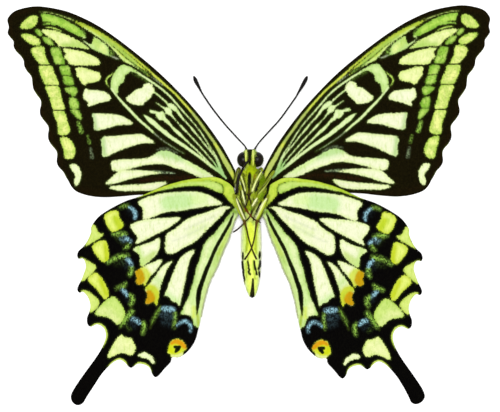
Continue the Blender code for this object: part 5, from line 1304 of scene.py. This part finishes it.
class Skin:
    """The body's skin as a grid of points: rings along the body, each from side to side round it."""

    def __init__(self):
        rings = curve(SKIN, SKIN_STEP)
        self.y = rings[:, 0]
        depth = np.interp(-self.y, [-y for y, _ in COAT_DEPTH], [d for _, d in COAT_DEPTH])
        angle = 2 * np.pi * np.arange(SKIN_SIDES + 1) / SKIN_SIDES - np.pi / 2
        across = np.sign(np.cos(angle)) * np.abs(np.cos(angle)) ** (2 / SKIN_POWER)
        upward = np.sign(np.sin(angle)) * np.abs(np.sin(angle)) ** (2 / SKIN_POWER)
        half = np.maximum(rings[:, 2] - depth, THINNEST)
        rise = np.maximum((rings[:, 4] - rings[:, 3]) / 2 - depth, THINNEST)
        for cut in ABDOMEN_SEGMENTS:
            groove = 1 - GROOVE_DEPTH * np.exp(-((self.y - cut) / GROOVE_WIDTH) ** 2)
            half, rise = half * groove, rise * groove
        middle_x, middle_z = (np.repeat(middle[:, None], SKIN_SIDES + 1, axis=1)
                              for middle in (rings[:, 1], (rings[:, 4] + rings[:, 3]) / 2))
        x = middle_x + half[:, None] * across
        y = np.repeat(self.y[:, None], SKIN_SIDES + 1, axis=1)
        z = middle_z + rise[:, None] * upward
        for bulge_x, bulge_y, radius, height in BULGES:
            near = np.exp(-((x - bulge_x) ** 2 + (y - bulge_y) ** 2) / (radius / BULGE_BELL) ** 2)
            z = z + height * near * np.clip(upward, 0, 1)
        self.grid = np.stack([x, y, np.maximum(z, LOWEST)], axis=2)
        normal = unit(np.cross(np.gradient(self.grid, axis=1), np.gradient(self.grid, axis=0)))
        outward = self.grid - np.stack([middle_x, y, middle_z], axis=2)
        self.normal = normal * np.sign((normal * outward).sum(2, keepdims=True) + 1e-9)
        self.colour = body_colour(self.grid.reshape(-1, 3), middle_z.ravel()).reshape(self.grid.shape)

    def uv(self, ring, side):
        """Places on the UV map, rings upwards and sides across."""
        span = 1 - 2 * UV_EDGE
        across, upward = span * side / SKIN_SIDES, span * ring / (len(self.y) - 1)
        return np.stack([UV_EDGE + across, UV_EDGE + upward], axis=-1)

    def at(self, values, ring, side):
        """Values of the grid between its points."""
        i, j = np.floor(ring).astype(int), np.floor(side).astype(int)
        i, j = np.minimum(i, values.shape[0] - 2), np.minimum(j, values.shape[1] - 2)
        a, b = (ring - i)[:, None], (side - j)[:, None]
        return ((values[i, j] * (1 - b) + values[i, j + 1] * b) * (1 - a)
                + (values[i + 1, j] * (1 - b) + values[i + 1, j + 1] * b) * a)

    def build(self, finish):
        """The skin as a closed mesh."""
        rings = len(self.y)
        points = self.grid[:, :SKIN_SIDES].reshape(-1, 3)
        thing = mesh_object("body_skin", points, ring_faces(rings, SKIN_SIDES), finish)
        corners = []
        for i in range(rings - 1):
            for j in range(SKIN_SIDES):
                corners += [(i, j), (i, j + 1), (i + 1, j + 1), (i + 1, j)]
        corners += [(0, j) for j in reversed(range(SKIN_SIDES))]
        corners += [(rings - 1, j) for j in range(SKIN_SIDES)]
        corners = np.array(corners, float)
        layer = thing.data.uv_layers.new(name="OFBake")
        layer.data.foreach_set("uv", self.uv(corners[:, 0], corners[:, 1]).ravel())
        store(thing, "tone", self.colour[:, :SKIN_SIDES].reshape(-1, 3), "FLOAT_COLOR")
        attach(thing, "root")
        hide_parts("head", "thorax", "abdomen")


def tufts(name, roots, normals, lie, lengths, widths, colours, uv, finish, lift, seed):
    """Thin tapered tufts of three sides that bend along their lie, joined in one mesh."""
    draw = np.random.default_rng(seed)
    count = len(roots)
    lie = unit(lie - (lie * normals).sum(1, keepdims=True) * normals)
    lie = unit(lie + draw.normal(0.0, TUFT_SPREAD, (count, 3)))
    side = unit(np.cross(normals, lie))
    lift = (lift * draw.uniform(0.6, 1.4, count))[:, None]
    lengths, widths = lengths[:, None], widths[:, None]
    start = roots - normals * TUFT_ROOT
    middle = roots + (lie * 0.5 + normals * lift) * lengths
    tip = roots + (lie + normals * lift * 1.1) * lengths
    points = []
    for centre, share in ((start, 1.0), (middle, 0.7)):
        for turn in range(3):
            angle = 2 * math.pi * turn / 3 + math.pi / 6
            away = side * math.cos(angle) + normals * math.sin(angle) * 0.5
            points.append(centre + away * widths * share)
    points = np.stack(points + [tip], axis=1)
    points[:, :, 2] = np.clip(points[:, :, 2], LOWEST, HAIR_TOP)
    corners = points.shape[1]
    faces = (np.array(TUFT_FACES)[None] + corners * np.arange(count)[:, None, None]).reshape(-1, 3)
    thing = mesh_object(name, points.reshape(-1, 3), faces, finish)
    patch = np.array(TUFT_UV) * TUFT_UV_SIZE
    store_uv(thing, np.clip(uv[:, None, :] + patch, 0.0, 1.0).reshape(-1, 2))
    shade = colours * draw.uniform(0.86, 1.14, (count, 1))
    store(thing, "tone", np.clip(np.repeat(shade, corners, axis=0), 0, 1), "FLOAT_COLOR")
    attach(thing, "root")


def coat(skin, fur, name, count, y_low, y_high, length, width, lift, outward, seed):
    """Tufts over a stretch of the body, lying towards the tail."""
    draw = np.random.default_rng(seed)
    rings = np.interp([-y_high, -y_low], -skin.y, np.arange(len(skin.y)))
    tries = 3 * count
    ring = draw.uniform(rings[0], rings[1], tries)
    side = draw.uniform(0, SKIN_SIDES, tries)
    roots = skin.at(skin.grid, ring, side)
    # a narrow ring keeps fewer of them
    width_there = np.interp(-roots[:, 1], [-row[0] for row in SKIN], [row[2] for row in SKIN])
    keep = draw.uniform(0, WIDEST, tries) < width_there
    ring, side, roots = ring[keep][:count], side[keep][:count], roots[keep][:count]
    normals = unit(skin.at(skin.normal, ring, side))
    lie = np.tile([0.0, -1.0, 0.0], (len(roots), 1))
    lie[:, 0] += outward * (roots[:, 0] - BREAST_X)
    lengths = length * draw.uniform(0.6, 1.2, len(roots))
    widths = width * draw.uniform(0.7, 1.2, len(roots))
    # tufts close to the floor lie flatter
    low = np.clip((roots[:, 2] - 0.1) / (0.8 * length), 0.15, 1.0)
    tufts(name, roots, normals, lie, lengths, widths, skin.at(skin.colour, ring, side), skin.uv(ring, side),
          finish=fur, lift=lift * low, seed=seed + 1)


def tube(name, route, step, sides, finish, node, ripple=None):
    """A tapered tube through a route of x, y, z, radius; the ripple changes the radius along it."""
    rows = curve(route, step)
    path, radius = rows[:, :3], np.maximum(rows[:, 3], 0.01)
    along = unit(np.gradient(path, axis=0))
    travelled = np.concatenate([[0], np.cumsum(np.linalg.norm(np.diff(path, axis=0), axis=1))])
    if ripple:
        radius = radius * ripple(travelled, travelled[-1])
    side = unit(np.cross(along, np.array([0.0, 0.0, 1.0])))
    raised = np.cross(side, along)
    angle = (2 * np.pi * np.arange(sides) / sides)[None, :, None]
    round_it = side[:, None, :] * np.cos(angle) + raised[:, None, :] * np.sin(angle)
    points = (path[:, None, :] + radius[:, None, None] * round_it).reshape(-1, 3)
    points[:, 2] = np.maximum(points[:, 2], LOWEST)
    thing = mesh_object(name, points, ring_faces(len(path), sides), finish)
    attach(thing, "root")
    if node:
        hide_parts(node)
    return thing, path, along, side, raised, radius


def scaled(name, size, stretch, other, share, relief, roughness, specular):
    """Scales of the body or a leg in the tone of each place, with another colour on some of them."""
    make = Shader(name)
    grain = make.grain(size, make.place(scale=(1.0, stretch, 1.0)))
    tone = make.attribute("tone", "Color")
    colour = make.mix(make.ramp(grain, 0.0, 1.0, out_high=share), tone, linear(other))
    make.bump(grain, distance_mm=0.03, strength=relief)
    return make.finish(colour, roughness, specular)


def hair(name):
    """Hair in the tone of each tuft."""
    make = Shader(name)
    return make.finish(make.attribute("tone", "Color"), 0.7, specular=0.08)


def chitin(name, colour, light):
    """Smooth dark chitin, clouded with a lighter colour."""
    make = Shader(name)
    shade = make.mix(make.ramp(make.noise(0.3), 0.35, 0.7), linear(colour), linear(light))
    make.bump(make.noise(0.08), distance_mm=0.02, strength=0.5)
    return make.finish(shade, 0.4, specular=0.08)


def eye_material():
    """A dark, clouded eye of tiny facets."""
    make = Shader("compound_eye")
    facets = make.cells(0.05, output="Distance", jitter=0.2)
    colour = make.mix(make.ramp(make.noise(1.3), 0.35, 0.7), linear((10, 6, 5)), linear((34, 24, 20)))
    make.bump(make.math("SUBTRACT", 1.0, facets), distance_mm=0.012, strength=0.7)
    return make.finish(colour, 0.3, specular=0.14)


def eyes():
    """Two ovals of rings from the front to the back."""
    shine = eye_material()
    rings, around = 60, 80
    polar = np.pi * (np.arange(rings) + 0.5) / rings
    turn = 2 * np.pi * np.arange(around) / around
    ball = np.stack([np.outer(np.sin(polar), np.cos(turn)), np.outer(np.cos(polar), np.ones(around)),
                     np.outer(np.sin(polar), np.sin(turn))], axis=2).reshape(-1, 3)
    for side, word in SIDES:
        points = ball * EYE_RADII + (EYE_X[side], *EYE_YZ)
        eye = mesh_object(f"compound_eye_{word}", points, ring_faces(rings, around), shine)
        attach(eye, "root")
        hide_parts(f"eye_{word}")


def antenna_rings(travelled, _):
    """The rings of an antenna, a narrow waist in each."""
    return 1 - 0.14 * np.exp(-((np.mod(travelled, ANTENNA_RING) - ANTENNA_RING / 2) / 0.05) ** 2)


def antennae():
    """Two ringed antennae with clubbed ends."""
    black = chitin("antenna_chitin", (9, 8, 7), (24, 21, 18))
    for side, word in SIDES:
        tube(f"ringed_antenna_{word}", ANTENNAE[side], step=0.06, sides=12, finish=black,
             node=f"antenna_{word}", ripple=antenna_rings)


def palps(scales, fur):
    """Two palps with short hair all round."""
    first_seed, second_seed = PALP_SEEDS
    for side, word in SIDES:
        thing, path, along, _, _, radius = tube(f"scaled_palp_{word}", PALPS[side], step=0.06, sides=20,
                                                finish=scales, node=f"palp_{word}")
        store(thing, "tone", palp_colour(mesh_points(thing)), "FLOAT_COLOR")
        draw = np.random.default_rng(first_seed + side)
        count = PALP_HAIRS
        spot = draw.integers(0, len(path), count)
        turn = draw.uniform(0, 2 * np.pi, count)
        normals = np.stack([np.cos(turn), 0.0 * turn, np.sin(turn)], axis=1)
        roots = path[spot] + normals * radius[spot][:, None]
        uv = np.stack([turn / 7.0, spot / (len(path) + 1)], axis=1)
        tufts(f"palp_hair_{word}", roots, normals, along[spot], lengths=draw.uniform(0.1, 0.2, count),
              widths=np.full(count, 0.018), colours=palp_colour(roots), uv=uv, finish=fur,
              lift=0.3, seed=second_seed + side)


def galea_rings(travelled, _):
    """The fine rings of the proboscis."""
    return 1 + 0.05 * np.sin(travelled * 2 * np.pi / GALEA_RING)


def proboscis():
    """Two galeae side by side."""
    brown = chitin("proboscis_chitin", (14, 10, 7), (38, 28, 18))
    for side, word in SIDES:
        route = [(x + side * GALEA_ASIDE[0], y + side * GALEA_ASIDE[1], z, r) for x, y, z, r in PROBOSCIS]
        tube(f"galea_{word}", route, step=0.05, sides=12, finish=brown,
             node="proboscis" if side > 0 else None, ripple=galea_rings)


def foot_joints(travelled, whole):
    """Joints of the foot, narrow between them."""
    waist = np.exp(-((np.mod(travelled, FOOT_JOINT * whole) - FOOT_JOINT / 2 * whole) / 0.08) ** 2)
    return np.where(travelled > FOOT_FROM * whole, 1 - 0.22 * waist, 1.0)


def legs(scales, fur):
    """Six legs with spines and two claws each."""
    first_seed, second_seed = SPINE_SEEDS
    for number, (name, route) in enumerate(LEGS.items()):
        thing, path, along, side, raised, radius = tube(f"jointed_{name}", route, step=0.07, sides=LEG_SIDES,
                                                        finish=scales, node=name,
                                                        ripple=foot_joints)
        last = len(path) - 1
        share = np.linspace(0, 1, len(path))
        foot = np.repeat(np.clip((share - 0.68) / 0.06, 0, 1), LEG_SIDES)[:, None]
        store(thing, "tone", leg_colour(mesh_points(thing), foot), "FLOAT_COLOR")
        draw = np.random.default_rng(first_seed + number)
        count = LEG_SPINES
        spot = draw.integers(int(0.35 * len(path)), len(path) - 2, count)
        turn = draw.uniform(0, 2 * np.pi, count)
        normals = side[spot] * np.cos(turn)[:, None] + raised[spot] * np.sin(turn)[:, None]
        roots = np.concatenate([path[spot] + normals * radius[spot][:, None], path[[last, last]]])
        normals = np.concatenate([normals, side[[last, last]] * np.array([[1.0], [-1.0]])])
        lengths = np.concatenate([draw.uniform(0.12, 0.26, count), [CLAW[0]] * 2])
        widths = np.concatenate([np.full(count, 0.016), [CLAW[1]] * 2])
        spot = np.concatenate([spot, [last, last]])
        uv = np.stack([np.concatenate([turn, [0.1, 3.0]]) / 7.0, spot / (len(path) + 1)], axis=1)
        colours = np.tile(linear(SPINE_BROWN), (len(roots), 1))
        tufts(f"spines_{name}", roots, normals, along[spot], lengths, widths, colours, uv, finish=fur,
              lift=0.35, seed=second_seed + number)


def body():
    """The body with its coat, and everything that grows on it but the wings."""
    scales = scaled("body_scales", size=0.09, stretch=0.5, other=(140, 152, 20), share=0.15, relief=0.6,
                    roughness=0.75, specular=0.12)
    fur = hair("body_hair")
    skin = Skin()
    skin.build(scales)
    for row in COATS:
        coat(skin, fur, *row)
    eyes()
    palps(scales, fur)
    antennae()
    proboscis()
    leg_scales = scaled("leg_scales", size=0.08, stretch=1.0, other=(60, 56, 18), share=0.16, relief=0.5,
                        roughness=0.6, specular=0.1)
    legs(leg_scales, fur)


def floor_lights_camera():
    """A pale floor, white surroundings, one soft lamp above, and the camera straight over the butterfly."""
    floor_mat = Shader("floor_pale")
    shade = floor_mat.mix(floor_mat.noise(40.0), (1.0, 1.0, 1.0), (0.98, 0.98, 0.97))
    floor_mat.finish(shade, 0.9, specular=0.1)
    corners = [(x * FLOOR_REACH, y * FLOOR_REACH, 0) for x, y in ((-1, -1), (1, -1), (1, 1), (-1, 1))]
    floor = mesh_object("floor", corners, [(0, 1, 2, 3)], floor_mat.mat, smooth=False)

    scene = bpy.context.scene
    world = bpy.data.worlds.new("studio")
    world.use_nodes = True
    background = world.node_tree.nodes["Background"]
    background.inputs["Color"].default_value = (1.0, 1.0, 1.0, 1.0)
    background.inputs["Strength"].default_value = WORLD_LIGHT * LIGHT_GAIN
    scene.world = world
    lamp = bpy.data.lights.new("soft_key", "AREA")
    lamp.size = 0.35
    lamp.energy = LAMP_POWER * LIGHT_GAIN
    key = bpy.data.objects.new("soft_key", lamp)
    key.location = (-0.02, 0.03, 1.5)
    key.rotation_euler = Vector(key.location).to_track_quat("Z", "Y").to_euler()
    scene.collection.objects.link(key)

    lens = bpy.data.cameras.new("camera")
    lens.sensor_width = 36.0
    lens.lens = 150.0
    lens.clip_start = 0.01
    camera = bpy.data.objects.new("camera", lens)
    distance = PHOTO_WIDTH * lens.lens / lens.sensor_width
    camera.location = Vector((PHOTO_X, 0.0, PHOTO_Z + distance)) * MM
    scene.collection.objects.link(camera)
    scene.camera = camera
    scene.view_settings.view_transform = "Standard"


wings()
body()
floor_lights_camera()
